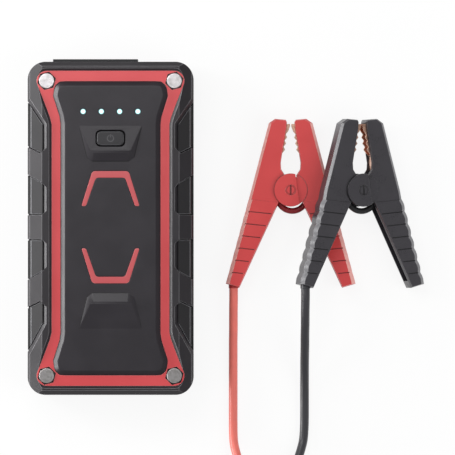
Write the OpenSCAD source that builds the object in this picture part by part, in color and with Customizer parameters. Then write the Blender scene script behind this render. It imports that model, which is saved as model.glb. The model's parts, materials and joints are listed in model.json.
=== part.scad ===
// Jump starter pack lying on its back, with its clamp lead set beside it.
// Millimetres, +Z up, origin at the centre of the pack's back face.

/* [Pack] */
// Width of the casing
body_w = 82.8; // [78:0.2:92]
// Length of the casing
body_l = 166.2; // [156:0.2:186]
// Thickness of the casing over the crests on the front panel
body_t = 35.2; // [34:0.2:40]
// Radius of the casing's upright corners
corner_r = 9; // [7:0.5:11]
// Wall of both casing halves
wall = 2.8; // [2.6:0.1:3.2]
// Height of the seam between the casing halves
seam_z = 17; // [15:0.5:18]
// Width of the sloping shoulder along each long side
shoulder_w = 7.2; // [5:0.2:8]
// Drop of that shoulder
shoulder_drop = 3.2; // [2:0.2:4]
// Depth that the grip pads lie below the casing's surface
pad_sink = 0.9; // [0.6:0.1:1]
// Gap round each grip pad
pad_gap = 0.35; // [0.2:0.05:0.5]
// Width of the sloping walls beside the grip pads
pad_wall_w = 1.5; // [1:0.1:1.6]

/* [Front] */
// Width of the red frame's side strips
strip_w = 4.4; // [3.4:0.2:5]
// Distance from the casing's side to the strips
strip_in = 12.05; // [11:0.05:13]
// Width of the frame's end bars
bar_w = 5.2; // [4:0.2:6]
// Distance from the casing's end to the bars
bar_in = 4.5; // [4:0.1:5]
// Diameter of the corner screws' heads
stud_d = 7.5; // [6:0.1:7.8]
// Distance from the casing's edges to each corner screw
stud_in = 9.55; // [9:0.05:10.5]
// Distance that the lower half's pads, stripe and field lie nearer the middle than the upper ones
low_shift = 1.1; // [0:0.1:2]
// Width of the power button
button_w = 13.4; // [11:0.1:17]
// Height of the power button on the panel
button_h = 6.9; // [6:0.1:9]
// Radius of the power button's corners
button_r = 1.8; // [1:0.1:2.6]
// Gap round the power button
button_gap = 0.6; // [0.3:0.05:0.6]
// Travel of the power button
button_travel = 0.5; // [0.3:0.1:0.5]
// Diameter of the four charge lights
light_d = 2.9; // [2:0.1:3.4]
// Distance between the charge lights
light_pitch = 9.1; // [7:0.1:10]

/* [Ports] */
// Width of the port cover
cover_w = 42.4; // [41:0.2:44]
// Thickness of the port cover
cover_t = 1.35; // [1:0.05:2]
// Angle that the port cover opens to, for its clearance notch
cover_open = 90; // [60:5:90]
// Diameter of the torch lens
torch_d = 12.6; // [9:0.2:13]

/* [Battery] */
// Space between the casing's side walls and the battery cells
cell_side_gap = 7.6; // [5:0.2:12]
// Share of the casing's length that the battery cells take
cell_share = 0.674; // [0.6:0.002:0.68]
// Thickness of one battery cell
cell_t = 6.2; // [5:0.1:6.4]

/* [Clamps] */
// Half thickness of a clamp's handles
handle_hd = 5.5; // [5.3:0.1:6]
// Half thickness of a clamp's jaws
jaw_hd = 5; // [4.8:0.05:5.1]
// Wall of the clamp's plastic halves
grip_wall = 1.6; // [1.2:0.1:1.8]
// Radius of the disc round a clamp's pivot
disc_r = 8.3; // [8:0.1:8.4]
// Radius of the pivot pin
pin_r = 2; // [1.5:0.1:2.2]
// Running clearance of the pivot pin
pin_fit = 0.06; // [0.03:0.01:0.1]
// Angle at which the black clamp leans on the red one
lean = 17; // [17:0.5:20]
// Width of the chamfer along the clamps' outer edges
edge_chamfer = 1.8; // [1:0.1:2.2]
// Distance between the cross grooves on a handle
groove_pitch = 6.1; // [5.5:0.1:6.3]
// Width of a cross groove
groove_w = 0.5; // [0.3:0.1:0.8]
// Wire radius of the pivot spring
spring_wire_r = 0.6; // [0.4:0.05:0.65]
// Radius of the insulated wire that bridges the two jaws
bridge_r = 1.5; // [1:0.1:1.5]

/* [Leads] */
// Diameter of the clamp leads
cable_d = 4.4; // [3.8:0.1:4.6]
// Width of the lead box
box_w = 44; // [40:1:50]
// Length of the lead box
box_l = 58; // [50:1:70]
// Height of the lead box
box_h = 17; // [16:0.5:22]
// Wall of the lead box
box_wall = 1.8; // [1.4:0.1:2.2]

/* [Hidden] */

charcoal = [0.22, 0.22, 0.24];
coal = [0.12, 0.12, 0.13];
signal_red = [0.82, 0.3, 0.3];
silver = [0.8, 0.8, 0.78];
copper = [0.72, 0.42, 0.28];
fine = 48;
eps = 0.01;

// --- Outline helpers -------------------------------------------------------

// Unit vector from a to b
function heading(a, b) = (b - a) / norm(b - a);
// Turns a counter-clockwise outline's edges inwards by one distance each
function inset(pts, dist) = let (n = len(pts)) [
    for (i = [0:n - 1])
        let (
            before = heading(pts[(i + n - 1) % n], pts[i]),
            after = heading(pts[i], pts[(i + 1) % n]),
            turn = before[0] * after[1] - before[1] * after[0],
            d1 = dist[(i + n - 1) % n],
            d2 = dist[i])
        abs(turn) < 0.02
            ? pts[i] + (d1 + d2) / 2 * [-after[1], after[0]]
            : pts[i] + (d1 * after - d2 * before) / turn
];
// The same inset on every edge
function evenly(pts, d) = inset(pts, [for (p = pts) d]);
// Points of an outline in the opposite order
function reversed(pts) = [for (i = [len(pts) - 1:-1:0]) pts[i]];
// Corner p between a and b, bent to a soft curve that starts r before it
function bend(a, p, b, r) = let (u = p + r * heading(p, a), v = p + r * heading(p, b))
    [for (t = [0:0.2:1.001]) (1 - t) * (1 - t) * u + 2 * t * (1 - t) * p + t * t * v];
// Outline with every corner bent, by one length each
function softened(pts, r) = let (n = len(pts))
    [for (i = [0:n - 1]) each bend(pts[(i + n - 1) % n], pts[i], pts[(i + 1) % n], r[i])];
// Whole outline from the points of its first quadrant, side to top
function four(q) = concat(q, [for (p = reversed(q)) [-p[0], p[1]]],
                          [for (p = q) -p], [for (p = reversed(q)) [p[0], -p[1]]]);
// Points on an arc
function arc(c, r, a0, a1, n) = [for (i = [0:n]) let (a = a0 + (a1 - a0) * i / n) c + r * [cos(a), sin(a)]];

// Twice the area of triangle abc, above zero where it turns to the left
function turn_of(a, b, c) = (b[0] - a[0]) * (c[1] - a[1]) - (b[1] - a[1]) * (c[0] - a[0]);
function within(a, b, c, p) = turn_of(a, b, p) >= 0 && turn_of(b, c, p) >= 0 && turn_of(c, a, p) >= 0;
// True where corner k of the outline left in q can be cut off as a triangle
function is_ear(pts, q, k) = let (n = len(q), a = pts[q[(k + n - 1) % n]], b = pts[q[k]], c = pts[q[(k + 1) % n]])
    turn_of(a, b, c) > 0 && len([for (i = [2:1:n - 2]) if (within(a, b, c, pts[q[(k + i) % n]])) i]) == 0;
// Triangles that fill an outline with hollow corners
function triangles(pts, q) = let (n = len(q))
    n == 3 ? [q] : let (k = [for (i = [0:n - 1]) if (is_ear(pts, q, i)) i][0])
        concat([[q[(k + n - 1) % n], q[k], q[(k + 1) % n]]],
               triangles(pts, [for (i = [0:n - 1]) if (i != k) q[i]]));

// Closed solid through outlines of one point count, from the lowest to the highest
module loft(layers) {
    n = len(layers[0][1]);
    last = len(layers) - 1;
    every = [for (i = [0:n - 1]) i];
    polyhedron(
        points = [for (l = layers) for (p = l[1]) [p[0], p[1], l[0]]],
        faces = concat(
            triangles(layers[0][1], every),
            [for (t = triangles(layers[last][1], every)) [for (i = reversed(t)) last * n + i]],
            [for (k = [0:last - 1]) for (i = [0:n - 1])
                [k * n + i, (k + 1) * n + i, (k + 1) * n + (i + 1) % n, k * n + (i + 1) % n]]),
        convexity = 6);
}

// --- Pack: shared levels and places -----------------------------------------

half_w = body_w / 2;
half_l = body_l / 2;
field_rise = 1.2;
panel_proud = 0.8;
panel_z = body_t - field_rise;
frame_sunk = 1;
rim_z = panel_z - panel_proud;
frame_z = rim_z - frame_sunk;
seat_z = rim_z - 2.2;
deck_z = seat_z - 1.8;
stud_x = half_w - stud_in;
stud_y = half_l - stud_in;
boss_r = stud_d / 2 + 1.25;
post_r = 3.5;
strip_out_x = half_w - strip_in;
strip_in_x = strip_out_x - strip_w;
bar_out_y = half_l - bar_in;
bar_in_y = bar_out_y - bar_w;
neck_y = stud_y - 21;
fit = 0.3;

// Cross-section of the casing over its width, inset by d
function side_profile(d) = evenly([
    [-half_w + 3, 0], [half_w - 3, 0], [half_w, 3],
    [half_w, rim_z - shoulder_drop - 1.6], [half_w - 1.1, rim_z - shoulder_drop],
    [half_w - shoulder_w, rim_z], [-half_w + shoulder_w, rim_z],
    [-half_w + 1.1, rim_z - shoulder_drop], [-half_w, rim_z - shoulder_drop - 1.6],
    [-half_w, 3]], d);
// Section of the casing over its length, inset by d
function end_profile(d) = evenly([
    [-half_l + 3, 0], [half_l - 3, 0], [half_l, 3], [half_l, rim_z - 2.2],
    [half_l - 2.2, rim_z], [-half_l + 2.2, rim_z], [-half_l, rim_z - 2.2], [-half_l, 3]], d);

// Plate with round corners
module round_plate(w, l, r) {
    square([w - 2 * r, l], center = true);
    square([w, l - 2 * r], center = true);
    for (x = [-1, 1], y = [-1, 1]) translate([x * (w / 2 - r), y * (l / 2 - r)]) circle(r, $fn = fine);
}
// Upright block with round corners
module round_block(w, l, r, z0, z1) { translate([0, 0, z0]) linear_extrude(z1 - z0) round_plate(w, l, r); }
// Casing form over its width alone, inset by d
module side_form(d) {
    rotate([90, 0, 0]) linear_extrude(body_l + 2, center = true) polygon(side_profile(d));
}
// Whole casing form, inset by d
module casing_form(d) {
    intersection() {
        round_block(body_w - 2 * d, body_l - 2 * d, corner_r - d, -1, body_t);
        side_form(d);
        rotate([90, 0, 90]) linear_extrude(body_w + 2, center = true) polygon(end_profile(d));
    }
}
// Slab that spans the casing between two heights
module slab(z0, z1) { translate([-body_w, -body_l, z0]) cube([2 * body_w, 2 * body_l, z1 - z0]); }
// One copy in each corner of the pack at the corner screws
module at_studs() { for (x = [-1, 1], y = [-1, 1]) translate([x * stud_x, y * stud_y, 0]) children(); }

// --- Front opening: the frame and the panel inside it ------------------------

// Quadrant of the panel's edge, which the frame follows inside
panel_quadrant = [
    [strip_in_x, neck_y - 0.4], [strip_in_x + 0.5, neck_y + 3.2],
    [strip_in_x + 3.7, stud_y - 7.6], [stud_x - 3.7, stud_y - 3.9],
    [stud_x - 4.5, stud_y - 2], [stud_x - 6.5, bar_in_y - 0.2], [stud_x - 9.2, bar_in_y]];
panel_outline = four(panel_quadrant);
// Quadrant of the frame's outer edge, with the boss round the corner screw
frame_quadrant = concat(
    [[strip_out_x, neck_y - 0.8], [strip_out_x + 0.7, neck_y + 2.4], [strip_out_x + 2.9, stud_y - 12.6]],
    arc([stud_x, stud_y], boss_r, -22, 90, 8),
    [[stud_x - 2, bar_out_y], [stud_x - 5, bar_out_y]]);
frame_outline = four(frame_quadrant);

// --- Grip pads ----------------------------------------------------------------

pad_in_x = half_w - 7.9;
// Outline of an end pad on the right: its near edge, the bend of its inner edge, and its far end
function end_pad(near_y, bend_y, end_y) = [
    [pad_in_x, near_y + 1.5], [pad_in_x + 1.5, near_y], [half_w + 1, near_y + 3.6],
    [half_w + 1, end_y], [pad_in_x, bend_y]];
// Outline of a middle pad on the right, from its near edge
function mid_pad(near_y) = [
    [pad_in_x, near_y + 0.9], [pad_in_x + 1, near_y], [half_w + 1, near_y],
    [half_w + 1, near_y + 20.9], [pad_in_x + 1, near_y + 16.6], [pad_in_x, near_y + 15.5]];
// Pads of the upper half and of the lower one, each with the sign of its Y
pad_sets = [
    [1, [end_pad(neck_y - 15.3, neck_y - 0.8, neck_y + 12.4), mid_pad(6.5)]],
    [-1, [end_pad(neck_y - 15.3 - low_shift, neck_y - 4.2 - low_shift, neck_y + 12.1 - low_shift),
          mid_pad(6.5 - low_shift)]]];
// Edges of an end pad and of a middle pad that have a sloping wall beside them
pad_walls = [[0, 0, 0, 1, 1], [0, 0, 0, 0, 0, 1]];
// Share of pad_gap along each edge
pad_gaps = [[1, 2, 1, 1, 1], [1, 2, 1, 1, 1, 1]];
pad_floor_z = 7;
pad_depth = 1.8;
pad_lip_z = rim_z - shoulder_drop - 2.8;
shoulder_x = half_w - shoulder_w;
shoulder_fall = shoulder_drop / (shoulder_w - 1.1);

// Upright prisms through every pad of one side, grown by g
module pad_prisms(side, g) {
    for (set = pad_sets) scale([side, set[0], 1]) for (k = [0, 1])
        translate([0, 0, pad_floor_z - g]) linear_extrude(body_t) polygon(inset(set[1][k], -g * pad_gaps[k]));
}
// Everything that the pads of one side need cut out of the casing
module pad_cuts(side) {
    difference() { pad_prisms(side, 0); side_form(pad_depth); }
    for (set = pad_sets) scale([side, set[0], 1]) for (k = [0, 1]) pad_wall(set[1][k], pad_walls[k]);
}
// Sloping wall beside a pad: level with the flat rim, and once more along the falling shoulder
module pad_wall(outline, walls) {
    for (fall = [0, shoulder_fall]) multmatrix([[1, 0, 0, 0], [0, 1, 0, 0], [-fall, 0, 1, fall * shoulder_x]])
        loft([[rim_z - pad_wall_w, outline], [rim_z + 0.1, inset(outline, -(pad_wall_w + 0.1) * walls)]]);
}
// Pads of one side: sunk faces on the shoulder, and a lip that lies flush with the casing's side
module pads(side) {
    difference() {
        intersection() {
            pad_prisms(side, -pad_gap);
            union() {
                casing_form(pad_sink);
                intersection() { casing_form(0.1); slab(pad_floor_z, pad_lip_z); }
            }
        }
        side_form(pad_depth);
    }
}

// --- Ports at the top end -------------------------------------------------------

cover_x = -7.6;
cover_z0 = 9.2;
cover_z1 = 25.6;
bezel_w = cover_w - 1.6;
bezel_z0 = 10.9;
bezel_z1 = 25.1;
bezel_wall = 1.3;
bay_d = 4.5;
bay_y = half_l - bay_d;
hinge_y = half_l - 1.4;
hinge_z = 8;
roll_r = 1.3;
pin_hole_r = 0.86;
hinge_pin_r = 0.8;
hinge_pin_l = 2.2;
port_z = (bezel_z0 + bezel_z1) / 2;
output_x = cover_x - 9.9;
usb_a_x = cover_x + 7.2;
usb_c_x = cover_x + 16.6;
torch_board = 5.4;
torch_x = stud_x - post_r - torch_board / 2 - 0.15;
torch_z = seam_z;

// Upright tube along Y
module along_y(r, y0, y1, n = fine) {
    translate([0, y0, 0]) rotate([-90, 0, 0]) cylinder(r = r, h = y1 - y0, $fn = n);
}
// Everything that the ports and the torch need cut out of the casing
module port_cuts() {
    translate([cover_x - bezel_w / 2 - fit / 2, half_l - wall - 1, bezel_z0 - fit / 2])
        cube([bezel_w + fit, wall + 2, bezel_z1 - bezel_z0 + fit]);
    translate([cover_x - cover_w / 2 - fit, hinge_y - roll_r - 0.2, hinge_z - cover_reach])
        cube([cover_w + 2 * fit, 4, cover_reach + 2.8]);
    translate([cover_x - cover_w / 2 - hinge_pin_l - fit, hinge_y, hinge_z]) rotate([0, 90, 0])
        cylinder(r = pin_hole_r, h = cover_w + 2 * hinge_pin_l + 2 * fit, $fn = fine);
    translate([torch_x, 0, torch_z]) {
        along_y(torch_d / 2 + 0.05, half_l - 2, half_l + 1);
        along_y(torch_d / 2 - 0.8, half_l - wall - 1, half_l);
    }
}
cover_reach = half_l + cover_t - hinge_y + fit;

// --- Pack: casing ------------------------------------------------------------------

screw_r = 1.45;
// Shallow bare recess on the back, and the row of grip grooves above it
plate_w = 0.62 * body_w;
plate_l = 0.4 * body_l;
plate_y = -0.14 * body_l;
plate_depth = 0.5;
grip_rib_y = 0.3 * body_l;
grip_rib_pitch = 5.4;
module back_shell() {
    color(charcoal) difference() {
        union() {
            difference() {
                intersection() { casing_form(0); slab(0, seam_z); }
                intersection() { casing_form(wall); slab(wall, seam_z + 1); }
            }
            intersection() {
                casing_form(eps);
                at_studs() translate([0, 0, wall - eps]) cylinder(r = post_r, h = seam_z - wall + eps, $fn = fine);
            }
            translate([cover_x - cover_w / 2 - 4, half_l - wall - 1.8, wall - eps])
                cube([cover_w + 8, 1.8 + eps, bezel_z0 - wall - 0.6]);
        }
        at_studs() translate([0, 0, wall + 2]) cylinder(r = screw_r + 0.05, h = body_t, $fn = fine);
        translate([0, plate_y, 0]) round_block(plate_w, plate_l, 3, -1, plate_depth);
        for (i = [-3:3]) translate([0, grip_rib_y + i * grip_rib_pitch, 0])
            round_block(plate_w, grip_rib_pitch / 2, 1.2, -1, plate_depth);
        port_cuts();
        for (s = [-1, 1]) pad_cuts(s);
    }
}
board_t = 1.6;
board_z = deck_z - 4.6;
board_y0 = 16;
board_y1 = stud_y - 5;
stake_r = 1.2;
// One copy on each stake that holds the main board
module at_stakes() {
    for (s = [-1, 1], y = [board_y0 + 4, board_y1 - 4]) translate([s * (half_w - wall - 6), y, 0]) children();
}
module front_shell() {
    color(charcoal) difference() {
        union() {
            difference() {
                intersection() { casing_form(0); slab(seam_z, body_t); }
                intersection() { casing_form(wall); slab(seam_z - 1, deck_z); }
            }
            intersection() {
                casing_form(eps);
                at_studs() translate([0, 0, seam_z]) cylinder(r = post_r, h = deck_z - seam_z + 1, $fn = fine);
            }
            at_stakes() {
                translate([0, 0, board_z + board_t]) cylinder(r = 2.6, h = deck_z - board_z - board_t + eps, $fn = 32);
                translate([0, 0, board_z - 0.8]) cylinder(r = stake_r, h = board_t + 0.8 + eps, $fn = 32);
            }
        }
        loft([[seat_z, evenly(frame_outline, -0.1)], [frame_z, evenly(frame_outline, -0.1)],
              [rim_z + 0.05, evenly(frame_outline, -1.4)]]);
        at_studs() translate([0, 0, seam_z - 1]) cylinder(r = screw_r + 0.25, h = body_t, $fn = fine);
        translate([0, button_y, deck_z - 1]) linear_extrude(6) square([button_w + 3.2, button_h + 3.2], center = true);
        translate([0, light_y, deck_z - 1]) linear_extrude(6)
            square([3 * light_pitch + light_d - 0.6, light_d - 0.6], center = true);
        translate([0, light_y, seat_z - 1]) linear_extrude(2)
            square([3 * light_pitch + light_d + 0.8, light_d + 0.8], center = true);
        port_cuts();
        for (s = [-1, 1]) pad_cuts(s);
    }
}
module red_frame() {
    color(signal_red) difference() {
        translate([0, 0, seat_z]) linear_extrude(frame_z - seat_z) difference() {
            polygon(frame_outline);
            polygon(panel_outline);
        }
        at_studs() translate([0, 0, seat_z - 1]) rotate(15) cylinder(r = stud_d / 2 + 1, h = 4, $fn = 6);
    }
}

// --- Pack: front panel and controls ---------------------------------------------------

light_y = stud_y - 15.3;
button_y = stud_y - 28.7;
panel_edge = 2.2;
relief = 0.4;
stripe_w = 3.3;
stripe_y = 26.9;
// Raised field round the button, left half: foot of its sides, and the bend of its crest
field_foot = [[-15.6, button_y + 6.2], [-11.8, button_y - 9.4], [-9, button_y - 11.4]];
field_crest = [[-10.2, button_y - 6.2], [-8.4, button_y - 7.3]];
stripe_end_y = 11.1;
// Outline of the upper accent stripe, with the lengths of its bent corners
stripe_corners = [[-14.5, stripe_end_y], [-12.25, stripe_end_y],
                  [-7.3, stripe_y - stripe_w / 2], [7.3, stripe_y - stripe_w / 2],
                  [12.25, stripe_end_y], [14.5, stripe_end_y],
                  [9.05, stripe_y + stripe_w / 2], [-9.05, stripe_y + stripe_w / 2]];
stripe_outline = softened(stripe_corners, [0.9, 0.9, 1.2, 1.2, 0.9, 0.9, 1.7, 1.7]);

// One copy in the panel's upper half, and its mirror image in the lower half
module both_halves() {
    children();
    translate([0, low_shift, 0]) mirror([0, 1, 0]) children();
}
// Field that climbs from nothing at its top to its crest below the button
module raised_field() {
    function both(pts) = concat(pts, [for (p = reversed(pts)) [-p[0], p[1]]]);
    function lifted(pts, z) = [for (p = pts) [p[0], p[1], z]];
    polyhedron(
        points = concat(lifted(both(field_foot), panel_z - 0.5), lifted(both(field_foot), panel_z),
                        lifted(both(field_crest), body_t)),
        faces = concat(
            [[for (i = [0:5]) i]],
            [for (i = [0:5]) [i, 6 + i, 6 + (i + 1) % 6, (i + 1) % 6]],
            [[6, 12, 7], [7, 12, 13], [7, 13, 8], [8, 13, 14, 9], [9, 14, 10], [10, 14, 15],
             [10, 15, 11], [11, 15, 12, 6], [12, 15, 14, 13]]));
}
module front_panel() {
    edge = evenly(panel_outline, 0.1);
    color(charcoal) difference() {
        union() {
            loft([[seat_z, edge], [frame_z, edge], [panel_z, evenly(edge, panel_edge)]]);
            both_halves() raised_field();
        }
        translate([0, button_y, 0]) linear_extrude(body_t + 1)
            round_plate(button_w + 2 * button_gap, button_h + 2 * button_gap, button_r + button_gap);
        for (i = [-1.5:1.5]) translate([i * light_pitch, light_y, 0]) cylinder(r = light_d / 2 + 0.05, h = body_t + 1, $fn = fine);
        both_halves() translate([0, 0, panel_z - relief]) linear_extrude(2) polygon(evenly(stripe_outline, -0.05));
    }
}
module accent_stripes() {
    color(signal_red) both_halves()
        translate([0, 0, panel_z - relief]) linear_extrude(relief) polygon(stripe_outline);
}
module light_windows() {
    color([0.8, 1, 0.95]) {
        for (i = [-1.5:1.5]) translate([i * light_pitch, light_y, seat_z - 1]) cylinder(r = light_d / 2, h = panel_z - seat_z + 1.1, $fn = fine);
        translate([0, light_y, seat_z - 0.55]) cube([3 * light_pitch + light_d + 0.4, light_d + 0.4, 0.9], center = true);
    }
}
switch_h = 1.7;
module power_button() {
    stem_z = board_z + board_t + switch_h + 0.3 + button_travel;
    color(coal) {
        translate([0, button_y, seat_z - fit]) linear_extrude(body_t - seat_z + fit)
            round_plate(button_w, button_h, button_r);
        translate([0, button_y, seat_z - fit - 0.35]) cube([button_w + 2.2, button_h + 2.2, 0.7], center = true);
        translate([0, button_y, stem_z]) cylinder(r = 1.5, h = seat_z - stem_z - 0.5, $fn = 32);
    }
}
module button_switch() {
    color(silver) translate([0, button_y, board_z + board_t]) {
        translate([-2.6, -2.6, 0]) cube([5.2, 5.2, switch_h - 0.4]);
        cylinder(r = 1.2, h = switch_h, $fn = 32);
    }
}
module charge_lights() {
    color("white") for (i = [-1.5:1.5])
        translate([i * light_pitch - 1, light_y - 0.8, board_z + board_t]) cube([2, 1.6, 0.9]);
}
module main_board() {
    color([0.1, 0.35, 0.2]) difference() {
        translate([-half_w + wall + 2, board_y0, board_z]) cube([body_w - 2 * wall - 4, board_y1 - board_y0, board_t]);
        at_stakes() translate([0, 0, board_z - 1]) cylinder(r = stake_r + 0.1, h = board_t + 2, $fn = 32);
    }
}
// Parts on the main board: chip, transistors, coils, capacitors and a plug
module board_parts() {
    board_w = body_w - 2 * wall - 4;
    unit = (board_y1 - board_y0) / 20;
    translate([0, board_y0, board_z + board_t]) {
        color(coal) translate([-board_w / 4, 2.3 * unit, 0]) cube([3.4 * unit, 3.4 * unit, 1.1]);
        for (i = [0:3]) color(coal) translate([-board_w / 2.4 + 2.5 * unit * i, 7.6 * unit, 0]) cube([1.9 * unit, 2.3 * unit, 1.4]);
        for (i = [0:2]) color([0.3, 0.3, 0.32]) translate([board_w / 7 + 2.7 * unit * i, 2.3 * unit, 0]) cube([2.1 * unit, 2.1 * unit, 2.1]);
        for (i = [0:4]) color("tan") translate([board_w / 7 + 1.5 * unit * i, 6 * unit, 0]) cube([0.9 * unit, 0.6 * unit, 0.9]);
        color("gold") translate([board_w / 3.3, 9.1 * unit, 0]) cube([3 * unit, 1.5 * unit, 2]);
    }
}

// --- Pack: battery ----------------------------------------------------------------------

cells = 3;
foam_t = 0.8;
cell_w = body_w - 2 * wall - 2 * cell_side_gap;
cell_l = cell_share * body_l;
cell_y0 = -half_l + wall + 14;
cell_z0 = wall + 0.3;
tab_l = 4;
socket_pitch = 9;
// Place of each bus bar across the pack
function bar_x(s) = output_x + s * socket_pitch / 2;
module battery_cells() {
    color([0.72, 0.73, 0.76]) for (i = [0:cells - 1]) translate([-cell_w / 2, cell_y0, cell_z0 + i * (cell_t + foam_t)]) {
        cube([cell_w, cell_l, cell_t]);
        for (s = [-1, 1]) translate([cell_w / 2 + bar_x(s) - 3, cell_l - eps, cell_t / 2 - 0.2]) cube([6, tab_l + eps, 0.4]);
    }
}
module cell_foam() {
    color([0.25, 0.25, 0.28]) for (i = [0:cells - 2])
        translate([-cell_w / 2 + 2, cell_y0 + 3, cell_z0 + (i + 1) * cell_t + i * foam_t]) cube([cell_w - 4, cell_l - 6, foam_t]);
}

// --- Pack: sockets -----------------------------------------------------------------------

socket_r = 2.6;
socket_w = 17;
socket_h = 9.2;
socket_l = 15;
contact_l = 12;
contact_r = 2.55;
bar_z0 = port_z - 0.6;
cell_end_y = cell_y0 + cell_l + tab_l;
module bus_bars() {
    color(copper) for (s = [-1, 1]) translate([bar_x(s) - 2, cell_end_y, 0]) {
        translate([0, 0, bar_z0]) cube([4, bay_y - socket_l - cell_end_y, 1.2]);
        translate([0, 0, cell_z0 + 1]) cube([4, 1.2, bar_z0 - cell_z0 - 1 + eps]);
    }
}
module output_socket() {
    color([0.15, 0.3, 0.6]) difference() {
        translate([output_x - socket_w / 2, bay_y - socket_l, port_z - socket_h / 2]) cube([socket_w, socket_l, socket_h]);
        for (s = [-1, 1]) translate([output_x + s * socket_pitch / 2, 0, port_z]) {
            along_y(socket_r, bay_y - contact_l - 1, bay_y + 1);
            along_y(1.2, bay_y - socket_l - 1, bay_y);
        }
    }
}
module socket_contacts() {
    color("gold") for (s = [-1, 1]) translate([output_x + s * socket_pitch / 2, 0, port_z]) {
        difference() {
            along_y(contact_r, bay_y - contact_l - 1, bay_y - 1);
            along_y(contact_r - 0.5, bay_y - contact_l, bay_y);
        }
        along_y(1.15, bay_y - socket_l, bay_y - contact_l - 1 + eps);
    }
}
usb_w = 13.1;
usb_h = 5.4;
usb_l = 13;
module usb_a_ports() {
    for (k = [-1, 1]) translate([usb_a_x - usb_w / 2, bay_y - usb_l, port_z + k * (usb_h / 2 + 0.2) - usb_h / 2]) {
        color(silver) difference() {
            cube([usb_w, usb_l, usb_h]);
            translate([0.35, 1, 0.35]) cube([usb_w - 0.7, usb_l, usb_h - 0.7]);
        }
        color("white") translate([1, 1 - eps, usb_h - 2.4]) cube([usb_w - 2, usb_l - 2.5, 1.6]);
    }
}
usb_c_w = 3.3;
usb_c_h = 9;
module usb_c_port() {
    color(silver) translate([usb_c_x, bay_y - 8, port_z]) rotate([-90, 0, 0]) difference() {
        linear_extrude(8) {
            square([usb_c_w, usb_c_h - usb_c_w], center = true);
            for (s = [-1, 1]) translate([0, s * (usb_c_h - usb_c_w) / 2]) circle(usb_c_w / 2, $fn = 32);
        }
        translate([0, 0, 1]) linear_extrude(8) difference() {
            union() {
                square([usb_c_w - 0.6, usb_c_h - usb_c_w], center = true);
                for (s = [-1, 1]) translate([0, s * (usb_c_h - usb_c_w) / 2]) circle(usb_c_w / 2 - 0.3, $fn = 32);
            }
            square([0.7, usb_c_h - 3], center = true);
        }
    }
}
module port_board() {
    color([0.1, 0.35, 0.2]) translate([output_x + socket_w / 2 + 1, bay_y - usb_l - 1.6, bezel_z0 - 3])
        cube([bezel_w - socket_w - 4, 1.6, bezel_z1 - bezel_z0]);
}
module port_bezel() {
    color(coal) difference() {
        translate([cover_x - bezel_w / 2, bay_y - 1.6, bezel_z0])
            cube([bezel_w, half_l - bay_y + 1.6 - 0.1, bezel_z1 - bezel_z0]);
        translate([cover_x - bezel_w / 2 + bezel_wall, bay_y, bezel_z0 + bezel_wall])
            cube([bezel_w - 2 * bezel_wall, bay_d + 1, bezel_z1 - bezel_z0 - 2 * bezel_wall]);
        translate([output_x, bay_y, port_z]) cube([socket_w + 0.2, 8, socket_h + 0.2], center = true);
        translate([usb_a_x, bay_y, port_z]) cube([usb_w + 0.2, 8, 2 * usb_h + 0.6], center = true);
        translate([usb_c_x, bay_y, port_z]) cube([usb_c_w + 0.2, 8, usb_c_h + 0.2], center = true);
    }
}
module port_cover() {
    lip_t = 1;
    lip_w = bezel_w - 2 * bezel_wall - 2 * fit;
    lip_h = bezel_z1 - bezel_z0 - 2 * bezel_wall - 2 * fit;
    color([0.16, 0.16, 0.17]) {
        translate([cover_x - cover_w / 2, half_l + 0.05, cover_z0 + 1.2]) cube([cover_w, cover_t - 0.05, cover_z1 - cover_z0 - 1.2]);
        translate([cover_x, half_l + 0.1, port_z]) rotate([90, 0, 0]) linear_extrude(1.3) difference() {
            square([lip_w, lip_h], center = true);
            square([lip_w - 2 * lip_t, lip_h - 2 * lip_t], center = true);
        }
        translate([cover_x - cover_w / 2, hinge_y, hinge_z]) {
            cube([cover_w, half_l + cover_t - hinge_y, cover_z0 + 1.2 - hinge_z]);
            rotate([0, 90, 0]) cylinder(r = roll_r, h = cover_w, $fn = fine);
            translate([-hinge_pin_l, 0, 0]) rotate([0, 90, 0]) cylinder(r = hinge_pin_r, h = cover_w + 2 * hinge_pin_l, $fn = fine);
        }
    }
}
module torch_lens() {
    color([0.85, 0.9, 0.95]) translate([torch_x, 0, torch_z]) along_y(torch_d / 2, half_l - 2, half_l - 0.4);
}
module torch_reflector() {
    color(silver) translate([torch_x, half_l - wall - 0.1, torch_z]) rotate([90, 0, 0]) difference() {
        cylinder(r1 = torch_d / 2 - 1, r2 = 3, h = 5, $fn = fine);
        translate([0, 0, -eps]) cylinder(r1 = torch_d / 2 - 1.6, r2 = 2, h = 5 + 2 * eps, $fn = fine);
    }
}
module torch_light() {
    color([0.1, 0.35, 0.2]) translate([torch_x - torch_board / 2, half_l - wall - 6.8, torch_z - torch_board / 2])
        cube([torch_board, 1.6, torch_board]);
    color("khaki") translate([torch_x - 1.3, half_l - wall - 5.2, torch_z - 1.3]) cube([2.6, 1, 2.6]);
}
module corner_screws() {
    color(silver) at_studs() {
        translate([0, 0, seat_z]) cylinder(r = stud_d / 2, h = 1.7, $fn = fine);
        translate([0, 0, wall + 3]) cylinder(r = screw_r, h = seat_z - wall - 3 + eps, $fn = fine);
    }
}
module left_grips() { color([0.3, 0.3, 0.32]) pads(-1); }
module right_grips() { color([0.3, 0.3, 0.32]) pads(1); }

// --- Clamp: outline of the right half, pivot at the origin, jaws towards +Y -----------

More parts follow.
